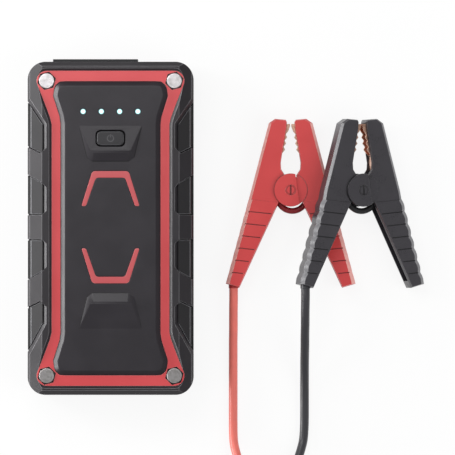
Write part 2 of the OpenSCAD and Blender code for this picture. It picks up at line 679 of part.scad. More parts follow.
shoulder = [11, 33.4];
knee = [19.85, -0.3];
heel = [32.5, -47];
toe = [25.7, -49];
crotch = [5.8, -6.1];
nose = [2.5, 35.2];
throat = [[2.8, 7.3], [4.75, 10.4], [4.95, 13.6], [4.2, 18.4], [2.15, 30.5], [1.9, 34.1]];
groove_y0 = -4.5;
grooves = 7;
groove_slant = 6;
groove_rim = 1.7;
red_bulge = 0.06;
black_bulge = 0.35;
edge_rise = 1.6;
disc_gap = 0.3;
lug_t = 1;
lug_hd = handle_hd + 0.1 + lug_t;
under_hd = lug_hd - lug_t - disc_gap;
under_t = 1.4;
under_r = disc_r - 1.3;
lug_flat_x = 3.4;
lug_tilt = 8;
pin_head_r = 2.55;
pin_hd = lug_hd + 0.1;
pocket_hd = jaw_hd - grip_wall;

// Outer and inner edge of a half at height y
function outer_x(y) = y > knee[1]
    ? knee[0] + (y - knee[1]) * (shoulder[0] - knee[0]) / (shoulder[1] - knee[1])
    : knee[0] + (y - knee[1]) * (heel[0] - knee[0]) / (heel[1] - knee[1]);
function inner_x(y) = crotch[0] + (y - crotch[1]) * (toe[0] - crotch[0]) / (toe[1] - crotch[1]);
function groove_y(i) = groove_y0 - i * groove_pitch;
// Height at x of the slanted line that groove i follows
function groove_line(i, x) = groove_y(i) - (outer_x(groove_y(i)) - x) * tan(groove_slant);

// Outer edge from the shoulder down, swollen by b between each two grooves
function outer_edge(b) = concat([shoulder, knee],
    [for (i = [0:0.25:grooves - 0.25]) [
        outer_x(groove_y(i)) + b * (2 * sin(180 * (i - floor(i))) - 1), groove_y(i)]],
    [heel]);
function half_outline(b) = reversed(concat([nose, [7.8, 35.65]], outer_edge(b), [toe, crotch], throat));
outer_first = len(throat) + 2;
outer_last = outer_first + len(outer_edge(0)) - 2;
// Chamfer of each edge: wide outside, narrow elsewhere
half_chamfer = [for (i = [0:len(half_outline(0)) - 1])
    i >= outer_first && i <= outer_last ? edge_chamfer : i == outer_last + 1 ? 1 : 0.45];
// Space inside a half, open towards the other half
pocket = reversed(concat(
    [[-1, nose[1] - 1.9], [nose[0] + 4, nose[1] - 1.7]],
    [for (y = [shoulder[1] - 1.8, knee[1], heel[1] + 1.9]) [outer_x(y) - grip_wall - 1, y]],
    [[inner_x(heel[1] + 1.2) - 3, heel[1] + 1.2], [inner_x(crotch[1]) - 4, crotch[1] - 1], [-1, crotch[1] + 3]]));

module half_body(b) {
    n = half_outline(b);
    c = inset(n, half_chamfer);
    difference() {
        loft([[-handle_hd, c], [-handle_hd + edge_rise, n], [handle_hd - edge_rise, n], [handle_hd, c]]);
        translate([0, 0, -pocket_hd]) linear_extrude(2 * pocket_hd) polygon(pocket);
        for (s = [-1, 1]) {
            translate([0, 0, s > 0 ? jaw_hd : -jaw_hd - 3]) linear_extrude(3)
                polygon([[-20, groove_line(0, -20)], [60, groove_line(0, 60)], [60, 60], [-20, 60]]);
            for (i = [0:grooves - 1]) let (y = groove_y(i), l = outer_x(y) - inner_x(y) - groove_rim)
                translate([outer_x(y), y, s * handle_hd]) rotate(groove_slant)
                    translate([-l, -groove_w / 2, -0.35]) cube([l + 1, groove_w, 0.7]);
        }
    }
}
// Space of a half's pivot that the other half turns in
module pivot_space(r, hd) { translate([0, 0, -hd]) cylinder(r = r, h = 2 * hd, $fn = fine); }
module pin_bore() { pivot_space(pin_r + pin_fit, pin_hd + 1); }

// Half that holds the lead: its lugs lie outside and carry the pin
module left_half(b) {
    difference() {
        union() {
            difference() {
                mirror([1, 0, 0]) half_body(b);
                pivot_space(under_r + disc_gap, handle_hd + 1);
            }
            for (s = [-1, 1]) intersection() {
                union() {
                    translate([0, 0, s > 0 ? lug_hd - lug_t : -lug_hd]) cylinder(r = disc_r, h = lug_t, $fn = fine);
                    translate([0, 0, s > 0 ? pocket_hd + 0.4 : -lug_hd]) difference() {
                        cylinder(r = disc_r, h = lug_hd - pocket_hd - 0.4, $fn = fine);
                        translate([0, 0, -1]) cylinder(r = under_r + disc_gap, h = 9, $fn = fine);
                        translate([-disc_r / 2, -20, -1]) cube([40, 40, 9]);
                    }
                }
                rotate(lug_tilt) translate([-20, -20, -20]) cube([20 + lug_flat_x, 40, 40]);
            }
        }
        pin_bore();
        for (s = [-1, 1]) translate([0, 0, s > 0 ? lug_hd - 0.5 : -lug_hd - 1]) cylinder(r = pin_head_r + 0.1, h = 1.5, $fn = fine);
        translate([-lead_x, 0, 0]) along_y(sleeve_r + 0.05, heel[1] - 5, sleeve_end_y + 0.2);
    }
}
// Half that turns on the pin: its discs lie inside the other half's lugs
module right_half(b) {
    difference() {
        union() {
            difference() {
                half_body(b);
                pivot_space(under_r + disc_gap, pocket_hd);
                for (s = [-1, 1]) translate([0, 0, s > 0 ? under_hd : -under_hd - 2]) cylinder(r = disc_r + 0.4, h = 2, $fn = fine);
            }
            for (s = [-1, 1]) translate([0, 0, s > 0 ? under_hd - under_t : -under_hd]) {
                cylinder(r = under_r, h = under_t, $fn = fine);
                intersection() {
                    cylinder(r = disc_r, h = under_t, $fn = fine);
                    translate([disc_r / 2, -20, 0]) cube([20, 40, under_t]);
                }
            }
        }
        pin_bore();
    }
}
module pivot_pin() {
    difference() {
        union() {
            pivot_space(pin_r, pin_hd);
            for (s = [-1, 1]) translate([0, 0, s > 0 ? lug_hd - 0.5 : -pin_hd]) cylinder(r = pin_head_r, h = pin_hd - lug_hd + 0.5, $fn = fine);
            pivot_space(spring_r - spring_wire_r - 0.25, under_hd - under_t - 0.2);
        }
        for (s = [-1, 1]) translate([0, 0, s * pin_hd]) cube([0.7, 2 * pin_head_r + 1, 0.6], center = true);
    }
}

// --- Clamp: copper jaws, spring and wires ------------------------------------------------

tooth_pitch = 3.08;
teeth = 4;
tooth_h = 1.1;
jaw_sheet = 0.8;
liner_hd = pocket_hd - 0.1;
// Plastic's inner edge along the toothed stretch
function jaw_x(y) = throat[3][0] + (y - throat[3][1]) * (throat[4][0] - throat[3][0]) / (throat[4][1] - throat[3][1]);
tooth_y0 = throat[3][1] + 0.2;
tip_y = nose[1] - 2.1;
jaw_outline = reversed(concat(
    [for (i = [0:teeth - 1]) each [
        [jaw_x(tooth_y0 + i * tooth_pitch) - 0.1, tooth_y0 + i * tooth_pitch],
        [jaw_x(tooth_y0 + (i + 0.52) * tooth_pitch) - tooth_h, tooth_y0 + (i + 0.52) * tooth_pitch]]],
    [[0.35, tip_y - 1.2], [0.35, tip_y], [5.6, tip_y - 0.2]],
    [[8, 19], [8.9, 9.5], [7.9, 8.9], [6, 9.6], [5.6, 12.5], [5.5, 16.8]]));
module jaw_liner() {
    difference() {
        translate([0, 0, -liner_hd]) linear_extrude(2 * liner_hd) polygon(jaw_outline);
        translate([0, 0, -liner_hd + jaw_sheet]) linear_extrude(2 * (liner_hd - jaw_sheet))
            polygon([[-1, 17.5], [6.9, 17.5], [4.6, tip_y - 1.2], [-1, tip_y - 1.2]]);
    }
}

spring_r = 3.9;
spring_turns = 3;
spring_pitch = 1.9;
spring_rings = 8;
spring_leg = 13;
// Route of the pivot spring: a straight leg, the curls and the other leg
function spring_point(a) = [spring_r * cos(a), spring_r * sin(a), spring_pitch * ((a + 100) / 360 - spring_turns / 2)];
spring_a0 = -100;
spring_a1 = spring_a0 + 360 * spring_turns - 160;
function spring_tangent(a) = [-sin(a), cos(a), 0];
spring_route = concat(
    [for (k = [3:-1:1]) spring_point(spring_a0) - spring_tangent(spring_a0) * spring_leg * k / 3],
    [for (i = [0:spring_rings * spring_turns - 4]) spring_point(spring_a0 + (spring_a1 - spring_a0) * i / (spring_rings * spring_turns - 4))],
    [for (k = [1:3]) spring_point(spring_a1) + spring_tangent(spring_a1) * spring_leg * k / 3]);

// Least gap between turns of a wound tube, measured on its points
function wound_gap(route, r, apart) = min([for (i = [0:len(route) - 1]) for (j = [i + apart:1:len(route) - 1])
    norm(route[i] - route[j]) - 2 * r]);
echo(spring_gap = wound_gap(spring_route, spring_wire_r, 5));

// Tube swept along a route, with rings kept square to the mean direction
function cross_unit(a, b) = let (c = cross(a, b)) c / norm(c);
function route_way(route, i) = let (n = len(route) - 1)
    heading(route[max(i - 1, 0)], route[min(i + 1, n)]);
module tube(route, r, sides, up) {
    n = len(route);
    rings = [for (i = [0:n - 1])
        let (way = route_way(route, i), side = cross_unit(way, up), top = cross(side, way))
        for (k = [0:sides - 1]) route[i] + r * (cos(360 * k / sides) * side + sin(360 * k / sides) * top)];
    polyhedron(
        points = rings,
        faces = concat(
            [[for (k = [0:sides - 1]) k]],
            [[for (k = [sides - 1:-1:0]) (n - 1) * sides + k]],
            [for (i = [0:n - 2]) for (k = [0:sides - 1]) each [
                [i * sides + k, (i + 1) * sides + k, (i + 1) * sides + (k + 1) % sides],
                [i * sides + k, (i + 1) * sides + (k + 1) % sides, i * sides + (k + 1) % sides]]]),
        convexity = 10);
}
module clamp_spring() { tube(spring_route, spring_wire_r, 6, [0, 0, 1]); }

bridge_path_r = 7.3;
bridge_centre = [0.8, -3.2, 0];
module bridge_wire() {
    translate(bridge_centre) rotate(195) rotate_extrude(angle = 150, $fn = fine)
        translate([bridge_path_r, 0]) circle(bridge_r, $fn = 24);
}

lead_x = 28.6;
sleeve_r = cable_d / 2 + 0.3;
sleeve_y = heel[1] - 2.2;
sleeve_end_y = heel[1] + 3;
module lead_sleeve() { translate([-lead_x, 0, 0]) along_y(sleeve_r, sleeve_y, sleeve_end_y); }
// Bared wire that runs from the sleeve to the pivot inside the handle
module lead_core() {
    core_r = 1.1;
    from = [-lead_x + sleeve_r - core_r - 0.1, sleeve_end_y + 0.1, 0];
    to = [-11, crotch[1] - 4, 0];
    tube([from, from + [0, 1.5, 0], to - [0, 4, 0], to], core_r, 8, [0, 0, 1]);
}

// --- Placing of both clamps ---------------------------------------------------------------

red_pivot = [90, 19.2, pin_hd];
black_pivot = [124.6, 19.1, (heel[0] - edge_chamfer + black_bulge) * sin(lean) + handle_hd * cos(lean)];
module place_red() { translate(red_pivot) children(); }
module place_black() { translate(black_pivot) rotate([0, lean, 0]) children(); }

module red_left_grip() { color(signal_red) place_red() left_half(red_bulge); }
module red_right_grip() { color(signal_red) place_red() right_half(red_bulge); }
module red_left_jaw() { color(copper) place_red() mirror([1, 0, 0]) jaw_liner(); }
module red_right_jaw() { color(copper) place_red() jaw_liner(); }
module red_pivot_pin() { color(signal_red) place_red() pivot_pin(); }
module red_spring() { color(silver) place_red() clamp_spring(); }
module red_bridge_wire() { color([0.6, 0.1, 0.1]) place_red() bridge_wire(); }
module red_core() { color(copper) place_red() lead_core(); }
module red_sleeve() { color(signal_red) place_red() lead_sleeve(); }
module black_left_grip() { color(coal) place_black() left_half(black_bulge); }
module black_right_grip() { color(coal) place_black() right_half(black_bulge); }
module black_left_jaw() { color(copper) place_black() mirror([1, 0, 0]) jaw_liner(); }
module black_right_jaw() { color(copper) place_black() jaw_liner(); }
module black_pivot_pin() { color(coal) place_black() pivot_pin(); }
module black_spring() { color(silver) place_black() clamp_spring(); }
module black_bridge_wire() { color(coal) place_black() bridge_wire(); }
module black_core() { color(copper) place_black() lead_core(); }
module black_sleeve() { color(coal) place_black() lead_sleeve(); }

// --- Leads --------------------------------------------------------------------------------

lead_r = cable_d / 2;
box_x = 79;
box_y1 = -134;
gland_z = 6.5;
gland_l = 9;
gland_dx = 14;
red_route = [
    [61.4, -30, 6.7], [61.4, -35, 6.7], [61.3, -42, 5.9], [61.3, -50, 4.4], [61.2, -57, 3.1],
    [61.2, -64, 2.4], [61.2, -72, 2.2], [61.2, -80, 2.2], [61.2, -88, 2.2], [61.2, -96, 2.2],
    [61.3, -104, 2.3], [61.8, -109, 2.9], [63.4, -115, 4.6], [65, -120.6, 6.5], [65, -125, 6.5]];
black_route = [
    [97.3, -30.1, 22.6], [97.3, -35, 22.6], [97.2, -42, 21.1], [97.2, -48, 18.7], [97.1, -54, 15.6],
    [97.1, -60, 12.2], [97, -66, 9], [97, -72, 6.2], [97, -78, 4.1], [97, -85, 2.7],
    [97, -92, 2.3], [96.9, -99, 2.3], [96.4, -106, 2.6], [95.2, -111, 3.8], [93.7, -116, 5.4],
    [93, -120.6, 6.5], [93, -125, 6.5]];
module red_cable() { color(signal_red) tube(red_route, lead_r, 8, [0, 0, 1]); }
module black_cable() { color(coal) tube(black_route, lead_r, 8, [0, 0, 1]); }

box_r = 5;
box_seam = box_h * 0.55;
module box_form(d, z0, z1) {
    translate([box_x, box_y1 - box_l / 2, 0]) round_block(box_w - 2 * d, box_l - 2 * d, box_r - d, z0, z1);
}
module gland_holes() {
    for (s = [-1, 1]) translate([box_x + s * gland_dx, 0, gland_z]) along_y(lead_r + 0.5, box_y1 - box_wall - 1, box_y1 + 1);
    translate([box_x, box_y1 - box_l, box_h / 2]) cube([plug_w - 3.9, 2 * box_wall + 1, plug_h - 3.9], center = true);
}
// One copy on each of the two screws that close the lead box
module at_box_screws() { for (y = [-1, 1]) translate([box_x, box_y1 - box_l / 2 + y * (box_l / 2 - 9), 0]) children(); }
box_ledge_z = 3;
box_post_z = box_ledge_z + 1.5;
module box_base() {
    color(coal) difference() {
        union() {
            difference() {
                box_form(0, 0, box_seam);
                box_form(box_wall, box_wall, box_seam + 1);
            }
            at_box_screws() translate([0, 0, box_wall - eps]) cylinder(r = 3.6, h = box_post_z - box_wall, $fn = fine);
        }
        gland_holes();
        at_box_screws() {
            translate([0, 0, -1]) cylinder(r = 2.2, h = box_ledge_z + 1, $fn = fine);
            cylinder(r = 1.15, h = box_h, $fn = fine);
        }
    }
}
module box_lid() {
    color(coal) difference() {
        union() {
            difference() {
                box_form(0, box_seam, box_h);
                box_form(box_wall, box_seam - 1, box_h - box_wall);
            }
            at_box_screws() translate([0, 0, box_post_z]) cylinder(r = 2.3, h = box_h - box_wall - box_post_z + eps, $fn = fine);
        }
        gland_holes();
        at_box_screws() cylinder(r = 1.05, h = box_h - 3, $fn = fine);
        translate([box_x, box_y1 - 16, box_h - 3]) cylinder(r = 1.55, h = 4, $fn = fine);
    }
}
module box_board() {
    color([0.1, 0.35, 0.2]) translate([box_x, box_y1 - box_l / 2, box_seam + 0.4]) difference() {
        cube([box_w - 2 * box_wall - 3, box_l - 2 * box_wall - 8, 1.2], center = true);
        for (y = [-1, 1]) translate([0, y * (box_l / 2 - 9), -2]) cylinder(r = 2.8, h = 4, $fn = fine);
    }
}
module box_light() {
    color([0.3, 0.9, 0.4]) translate([box_x, box_y1 - 16, box_seam + 1.1]) cylinder(r = 1.5, h = box_h - box_seam - 1, $fn = fine);
}
module box_screws() {
    color(silver) at_box_screws() {
        translate([0, 0, box_ledge_z - 1.5]) cylinder(r = 1.9, h = 1.5, $fn = fine);
        translate([0, 0, box_ledge_z - eps]) cylinder(r = 1, h = box_h - box_ledge_z - 4, $fn = fine);
    }
}
module box_glands() {
    for (s = [-1, 1]) color(s < 0 ? signal_red : coal) translate([box_x + s * gland_dx, box_y1, gland_z]) {
        rotate([-90, 0, 0]) cylinder(r1 = lead_r + 1.6, r2 = lead_r + 0.4, h = gland_l, $fn = fine);
        along_y(lead_r + 0.45, -box_wall - 0.8, eps);
    }
}
plug_w = 16.4;
plug_h = 8.6;
plug_l = 16;
module plug_body() {
    y1 = box_y1 - box_l;
    color([0.15, 0.3, 0.6]) translate([box_x, 0, box_h / 2]) difference() {
        union() {
            translate([-plug_w / 2, y1 - plug_l, -plug_h / 2]) cube([plug_w, plug_l, plug_h]);
            translate([-plug_w / 2 + 2, y1 - eps, -plug_h / 2 + 2]) cube([plug_w - 4, box_wall + 1, plug_h - 4]);
        }
        for (s = [-1, 1]) translate([s * socket_pitch / 2, 0, 0]) along_y(contact_r - 0.75, y1 - plug_l - 1, y1 + box_wall + 2);
    }
}
module plug_contacts() {
    y1 = box_y1 - box_l;
    color("gold") translate([box_x, 0, box_h / 2]) for (s = [-1, 1]) translate([s * socket_pitch / 2, 0, 0]) {
        along_y(contact_r - 0.8, y1 - plug_l - contact_l + 1, y1 + box_wall + 1);
    }
}

back_shell();
front_shell();
front_panel();
red_frame();
left_grips();
right_grips();
corner_screws();
accent_stripes();
light_windows();
power_button();
button_switch();
charge_lights();
main_board();
board_parts();
battery_cells();
cell_foam();
bus_bars();
output_socket();
socket_contacts();
usb_a_ports();
usb_c_port();
port_board();
port_bezel();
port_cover();
torch_lens();
torch_reflector();
torch_light();
red_left_grip();
red_right_grip();
red_left_jaw();
red_right_jaw();
red_pivot_pin();
red_spring();
red_bridge_wire();
red_core();
red_sleeve();
red_cable();
black_left_grip();
black_right_grip();
black_left_jaw();
black_right_jaw();
black_pivot_pin();
black_spring();
black_bridge_wire();
black_core();
black_sleeve();
black_cable();
box_base();
box_lid();
box_board();
box_light();
box_screws();
box_glands();
plug_body();
plug_contacts();
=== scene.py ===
# %% [markdown]
# # A jump starter pack with its clamp leads
# This lesson dresses a finished CAD model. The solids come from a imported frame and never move, so every
# piece made here sits in the same metres as the real object. Each step says what a piece or a finish is
# in real life, how Blender could make it, and why one way was chosen.

# %% Load the fixed frame
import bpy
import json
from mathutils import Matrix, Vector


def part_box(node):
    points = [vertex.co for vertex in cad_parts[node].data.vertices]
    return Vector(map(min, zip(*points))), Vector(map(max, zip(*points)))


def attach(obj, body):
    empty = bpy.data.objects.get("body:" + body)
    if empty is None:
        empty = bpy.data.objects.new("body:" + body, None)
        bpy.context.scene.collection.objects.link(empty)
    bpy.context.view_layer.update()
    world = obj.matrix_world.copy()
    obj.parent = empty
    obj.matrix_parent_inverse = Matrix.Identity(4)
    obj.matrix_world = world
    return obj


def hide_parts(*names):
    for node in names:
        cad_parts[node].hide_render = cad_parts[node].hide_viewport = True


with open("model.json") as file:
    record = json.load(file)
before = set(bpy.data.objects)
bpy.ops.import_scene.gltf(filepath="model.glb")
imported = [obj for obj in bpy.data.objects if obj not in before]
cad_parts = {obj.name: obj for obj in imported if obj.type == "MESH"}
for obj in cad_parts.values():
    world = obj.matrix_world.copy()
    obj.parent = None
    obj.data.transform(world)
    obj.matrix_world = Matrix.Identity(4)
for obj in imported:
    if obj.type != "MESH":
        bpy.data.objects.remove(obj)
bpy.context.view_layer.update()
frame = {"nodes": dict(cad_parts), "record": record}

import math
import json
import bpy
import bmesh
from mathutils import Matrix, Vector
nodes = frame["nodes"]
scene = bpy.context.scene
MM = 0.001

# %% [markdown]
# ## The camera
# The pack and its clamps lie on a table and are looked at from straight above. A long lens keeps the
# perspective as slight as it is in a catalogue picture, where the sides of a thick box hardly show.

# %% Camera
VIEW_HEIGHT = 5.0
VIEW_CENTRE = (0.05835, 0.0004)
HALF_WIDTH_AT_MIDDLE = 0.11375
MIDDLE_HEIGHT = 0.02
camera_data = bpy.data.cameras.new("camera")
camera_data.sensor_width = 36
camera_data.lens = 18 * (VIEW_HEIGHT - MIDDLE_HEIGHT) / HALF_WIDTH_AT_MIDDLE
camera = bpy.data.objects.new("camera", camera_data)
camera.location = (*VIEW_CENTRE, VIEW_HEIGHT)
scene.collection.objects.link(camera)
scene.camera = camera
scene.view_settings.view_transform = "Standard"
print("lens", round(camera_data.lens, 1), "mm")

# %% [markdown]
# ## The two leads
# Each lead is soft silicone cable: it leaves the sleeve of its clamp straight, sinks to the table under
# its own weight, and climbs a little to the gland of the lead box. A curve with a round bevel is the
# natural way to make it, because the curve's own line is the cable's true length.

# %% Leads as curves
LEAD_DIAMETER = 4.4 * MM
RED_ROUTE = [
    (61.4, -30, 6.7), (61.4, -35, 6.7), (61.3, -42, 5.9), (61.3, -50, 4.4), (61.2, -57, 3.1),
    (61.2, -64, 2.4), (61.2, -72, 2.2), (61.2, -80, 2.2), (61.2, -88, 2.2), (61.2, -96, 2.2),
    (61.3, -104, 2.3), (61.8, -109, 2.9), (63.4, -115, 4.6), (65, -120.6, 6.5), (65, -125, 6.5)]
BLACK_ROUTE = [
    (97.3, -30.1, 22.6), (97.3, -35, 22.6), (97.2, -42, 21.1), (97.2, -48, 18.7), (97.1, -54, 15.6),
    (97.1, -60, 12.2), (97, -66, 9), (97, -72, 6.2), (97, -78, 4.1), (97, -85, 2.7),
    (97, -92, 2.3), (96.9, -99, 2.3), (96.4, -106, 2.6), (95.2, -111, 3.8), (93.7, -116, 5.4),
    (93, -120.6, 6.5), (93, -125, 6.5)]


def lead_curve(name, route):
    """Smooth round cable through a route in millimetres."""
    curve = bpy.data.curves.new(name, "CURVE")
    curve.dimensions = "3D"
    curve.bevel_depth = LEAD_DIAMETER / 2
    curve.bevel_resolution = 6
    curve.resolution_u = 8
    curve.use_fill_caps = True
    spline = curve.splines.new("BEZIER")
    spline.bezier_points.add(len(route) - 1)
    points = [Vector(p) * MM for p in route]
    for i, (knot, here) in enumerate(zip(spline.bezier_points, points)):
        before, after = points[max(i - 1, 0)], points[min(i + 1, len(points) - 1)]
        way = (after - before).normalized()
        knot.co = here
        knot.handle_left_type = knot.handle_right_type = "FREE"
        knot.handle_left = here - way * (here - before).length / 3
        knot.handle_right = here + way * (after - here).length / 3
    lead = bpy.data.objects.new(name, curve)
    scene.collection.objects.link(lead)
    length = sum(s.calc_length() for s in curve.splines)
    print(name, "is", round(length / MM, 1), "mm long")
    return lead, length


red_lead, red_length = lead_curve("red_lead", RED_ROUTE)
black_lead, black_length = lead_curve("black_lead", BLACK_ROUTE)

# %% [markdown]
# ## Writing finishes as expressions
# A finish is a small graph of nodes. Placing each node by hand hides the idea behind it, so this class
# wraps an output socket and lets Python's own operators add the Math nodes: `1 - mask` or `a * b + c`
# reads like the formula it is. One method makes every other kind of node. The same graph serves shaders
# and, later on, Geometry Nodes.

# %% Sockets with operators
def linear(value):
    """One channel from the screen's scale, 0 to 255, to the light's own scale."""
    value /= 255
    return value / 12.92 if value <= 0.04045 else ((value + 0.055) / 1.055) ** 2.4


def tone(red, green, blue):
    return (linear(red), linear(green), linear(blue), 1)


class Signal:
    """An output socket that sums, scales and compares like a number."""

    def __init__(self, graph, socket):
        self.graph, self.socket = graph, socket

    def maths(self, operation, first, second=0.0):
        return self.graph.node("ShaderNodeMath", {"operation": operation}, {0: first, 1: second})

    def __add__(self, other): return self.maths("ADD", self, other)
    def __radd__(self, other): return self.maths("ADD", other, self)
    def __sub__(self, other): return self.maths("SUBTRACT", self, other)
    def __rsub__(self, other): return self.maths("SUBTRACT", other, self)
    def __mul__(self, other): return self.maths("MULTIPLY", self, other)
    def __rmul__(self, other): return self.maths("MULTIPLY", other, self)
    def __truediv__(self, other): return self.maths("DIVIDE", self, other)
    def __pow__(self, other): return self.maths("POWER", self, other)
    def __gt__(self, other): return self.maths("GREATER_THAN", self, other)
    def __abs__(self): return self.maths("ABSOLUTE", self)
    def wave(self): return self.maths("SINE", self)
    def whole(self): return self.maths("FLOOR", self)

    def ramp(self, low, high, to_low=0.0, to_high=1.0):
        """Eases from one value to the other as the signal goes from low to high."""
        return self.graph.node("ShaderNodeMapRange", {"interpolation_type": "SMOOTHSTEP", "clamp": True},
                               {"Value": self, "From Min": low, "From Max": high,
                                "To Min": to_low, "To Max": to_high})


class Graph:
    """A node tree that is written line by line."""

    def __init__(self, tree):
        self.tree = tree

    def feed(self, socket, value):
        if isinstance(value, Signal):
            self.tree.links.new(value.socket, socket)
        else:
            socket.default_value = value

    def node(self, kind, settings=None, inputs=None, output=0):
        made = self.tree.nodes.new(kind)
        for name, value in (settings or {}).items():
            setattr(made, name, value)
        for name, value in (inputs or {}).items():
            self.feed(made.inputs[name], value)
        return Signal(self, made.outputs[output]) if made.outputs else None


print("sockets can be added, scaled and compared")

# %% A finish: one material and the nodes that feed it
class Finish(Graph):
    def __init__(self, name, colour, roughness, **constants):
        self.material = bpy.data.materials.new(name)
        self.material.use_nodes = True
        self.material.diffuse_color = colour
        super().__init__(self.material.node_tree)
        self.shader = self.tree.nodes["Principled BSDF"]
        self.put(Base_Color=colour, Roughness=roughness, **constants)

    def put(self, **sockets):
        for name, value in sockets.items():
            self.feed(self.shader.inputs[name.replace("_", " ")], value)

    def place(self):
        """The point on the object in metres."""
        return self.node("ShaderNodeTexCoord", output=3)

    def axes(self):
        """The three coordinates of that point, in millimetres."""
        spread = self.node("ShaderNodeVectorMath", {"operation": "SCALE"}, {0: self.place(), "Scale": 1000})
        parts = self.tree.nodes.new("ShaderNodeSeparateXYZ")
        self.feed(parts.inputs[0], spread)
        return [Signal(self, out) for out in parts.outputs]

    def noise(self, size, detail=2.0, stretch=(1, 1, 1)):
        """Soft random values from 0 to 1 with patches of about that many millimetres."""
        where = self.node("ShaderNodeMapping", None, {"Vector": self.place(), "Scale": stretch})
        return self.node("ShaderNodeTexNoise", None,
                         {"Vector": where, "Scale": 1 / (size * MM), "Detail": detail})

    def mark(self, label):
        """An attribute of the mesh, such as 1 on outer edges painted paler: part wear, part painted
        highlight.
        """
        return self.node("ShaderNodeAttribute", {"attribute_name": label}, output=2)

    def mix(self, low, high, mask):
        return self.node("ShaderNodeMix", {"data_type": "RGBA"}, {0: mask, 6: low, 7: high}, output=2)

    def relief(self, height, depth):
        """Bump of that many millimetres for a height from 0 to 1."""
        self.put(Normal=self.node("ShaderNodeBump", None,
                                  {"Height": height, "Distance": depth * MM, "Strength": 1.0}))
        return self


print("A finish is ready to be written")

# %% [markdown]
# ## Moulded plastic and rubber
# Most of the object is moulded. The tool's spark-eroded surface leaves a fine grain, and handling leaves
# slightly shinier patches. One recipe with a grain size, a grain depth and a patchiness covers the
# casing, the pads, the clamps and the lead box, each with its own numbers.

# %% Moulded finishes
DISC_RADIUS = 8.35
PIN_RADIUS = 2.03


def gap_shade(finish, pin, lean=0.0):
    """Painted shade lines in the gaps where parts meet: round a pivot pin and round the disc about it, at the
    pin's own lean.
    """
    corners = [Vector(corner) / MM for corner in nodes[pin].bound_box]
    middle = sum(corners, Vector()) / len(corners)
    across, along, up = finish.axes()
    side = (across - middle.x) * math.cos(lean) - (up - middle.z) * math.sin(lean)
    reach = (side ** 2 + (along - middle.y) ** 2) ** 0.5
    return sum(abs(reach - radius).ramp(0.1, 0.3, 1, 0) for radius in (PIN_RADIUS, DISC_RADIUS))


def shade(colour, factor, lift=0.0):
    """The same colour, lighter or darker."""
    return tuple(min(1.0, c * factor + lift) for c in colour[:3]) + (1,)


def moulded(name, colour, roughness, grain=0.35, depth=0.012, patch=0.06, lift=0.16, rub_and_highlight=None, sunk=0.4,
            pin=None, lean=0.0, **constants):
    """Plastic with a fine grain, patches of other gloss, paler outer edges (wear and painted highlight) and
    painted shade in inner corners.
    """
    finish = Finish(name, colour, roughness, **constants)
    patches = finish.noise(14, 4).ramp(0.32, 0.7)
    specks = finish.noise(grain, 2)
    dark = shade(colour, sunk)
    paint = finish.mix(shade(colour, 1 - lift), shade(colour, 1 + lift, 0.0015),
                       patches * 0.45 + specks * 0.55)
    # Inner corners and groove floors get painted shade.
    paint = finish.mix(paint, dark, finish.mark("sunk") * 0.9)
    # Painted shade lines round the pivot pin and its disc.
    if pin:
        paint = finish.mix(paint, dark, gap_shade(finish, pin, lean) * 0.6)
    # Outer edges painted paler: part wear, part painted highlight.
    if rub_and_highlight:
        paint = finish.mix(paint, rub_and_highlight, finish.mark("rubbed_and_highlit") * (finish.noise(2.5, 3) * 0.5 + 0.5))
    finish.put(Base_Color=paint, Roughness=roughness + (patches - 0.5) * patch + (specks - 0.5) * 0.1)
    return finish.relief(specks * 0.75 + finish.noise(grain * 3.1, 3) * 0.25, depth)


# The edge colours below paint outer edges paler: part wear, part painted highlight.
casing_plastic = moulded("casing_plastic", tone(34, 31, 35), 0.42, rub_and_highlight=tone(150, 148, 152))
panel_plastic = moulded("panel_plastic", tone(37, 34, 39), 0.4, grain=0.3, depth=0.006,
                        Specular_IOR_Level=0.45)
frame_satin = moulded("frame_satin", tone(200, 64, 69), 0.34, grain=0.3, depth=0.004, lift=0.04,
                      rub_and_highlight=tone(238, 150, 148), Specular_IOR_Level=0.8)
stripe_satin = moulded("stripe_satin", tone(182, 76, 80), 0.36, grain=0.3, depth=0.004, lift=0.04,
                       rub_and_highlight=tone(214, 120, 120), Specular_IOR_Level=0.7)
cover_rubber = moulded("cover_rubber", tone(30, 30, 32), 0.6, grain=0.45, depth=0.02)
LEAN = math.radians(17)
# On the clamps the edge colour also paints the chamfers, as a painted highlight.
clamp_red = moulded("clamp_red", tone(206, 59, 60), 0.38, grain=0.35, depth=0.006, lift=0.05,
                    rub_and_highlight=tone(250, 196, 188), sunk=0.2, pin="red_pivot_pin", Specular_IOR_Level=0.7)
clamp_black = moulded("clamp_black", tone(51, 49, 54), 0.3, grain=0.35, depth=0.006,
                      rub_and_highlight=tone(124, 123, 126), sunk=0.15, pin="black_pivot_pin", lean=LEAN,
                      Specular_IOR_Level=0.7)
box_plastic = moulded("box_plastic", tone(38, 38, 40), 0.5, grain=0.45, depth=0.02, rub_and_highlight=tone(74, 74, 76))
bezel_plastic = moulded("bezel_plastic", tone(30, 30, 31), 0.5, rub_and_highlight=tone(60, 60, 62))
plug_nylon = moulded("plug_nylon", tone(26, 74, 150), 0.42, grain=0.4, depth=0.01, rub_and_highlight=tone(70, 112, 176))
foam = moulded("foam", tone(60, 60, 66), 0.95, grain=0.8, depth=0.2, patch=0.02)
print("moulded finishes:", len(bpy.data.materials))

# %% [markdown]
# ## Pads and the power button
# The grip pads have a grey face on the shoulder and a lip that turns down the side; the lip is painted
# near black as painted shade along the side. A mask on the distance from the pack's middle plane parts
# the two. The button's power sign is printed, so it is drawn the same way: a ring with a gap, and a
# short bar through the gap.

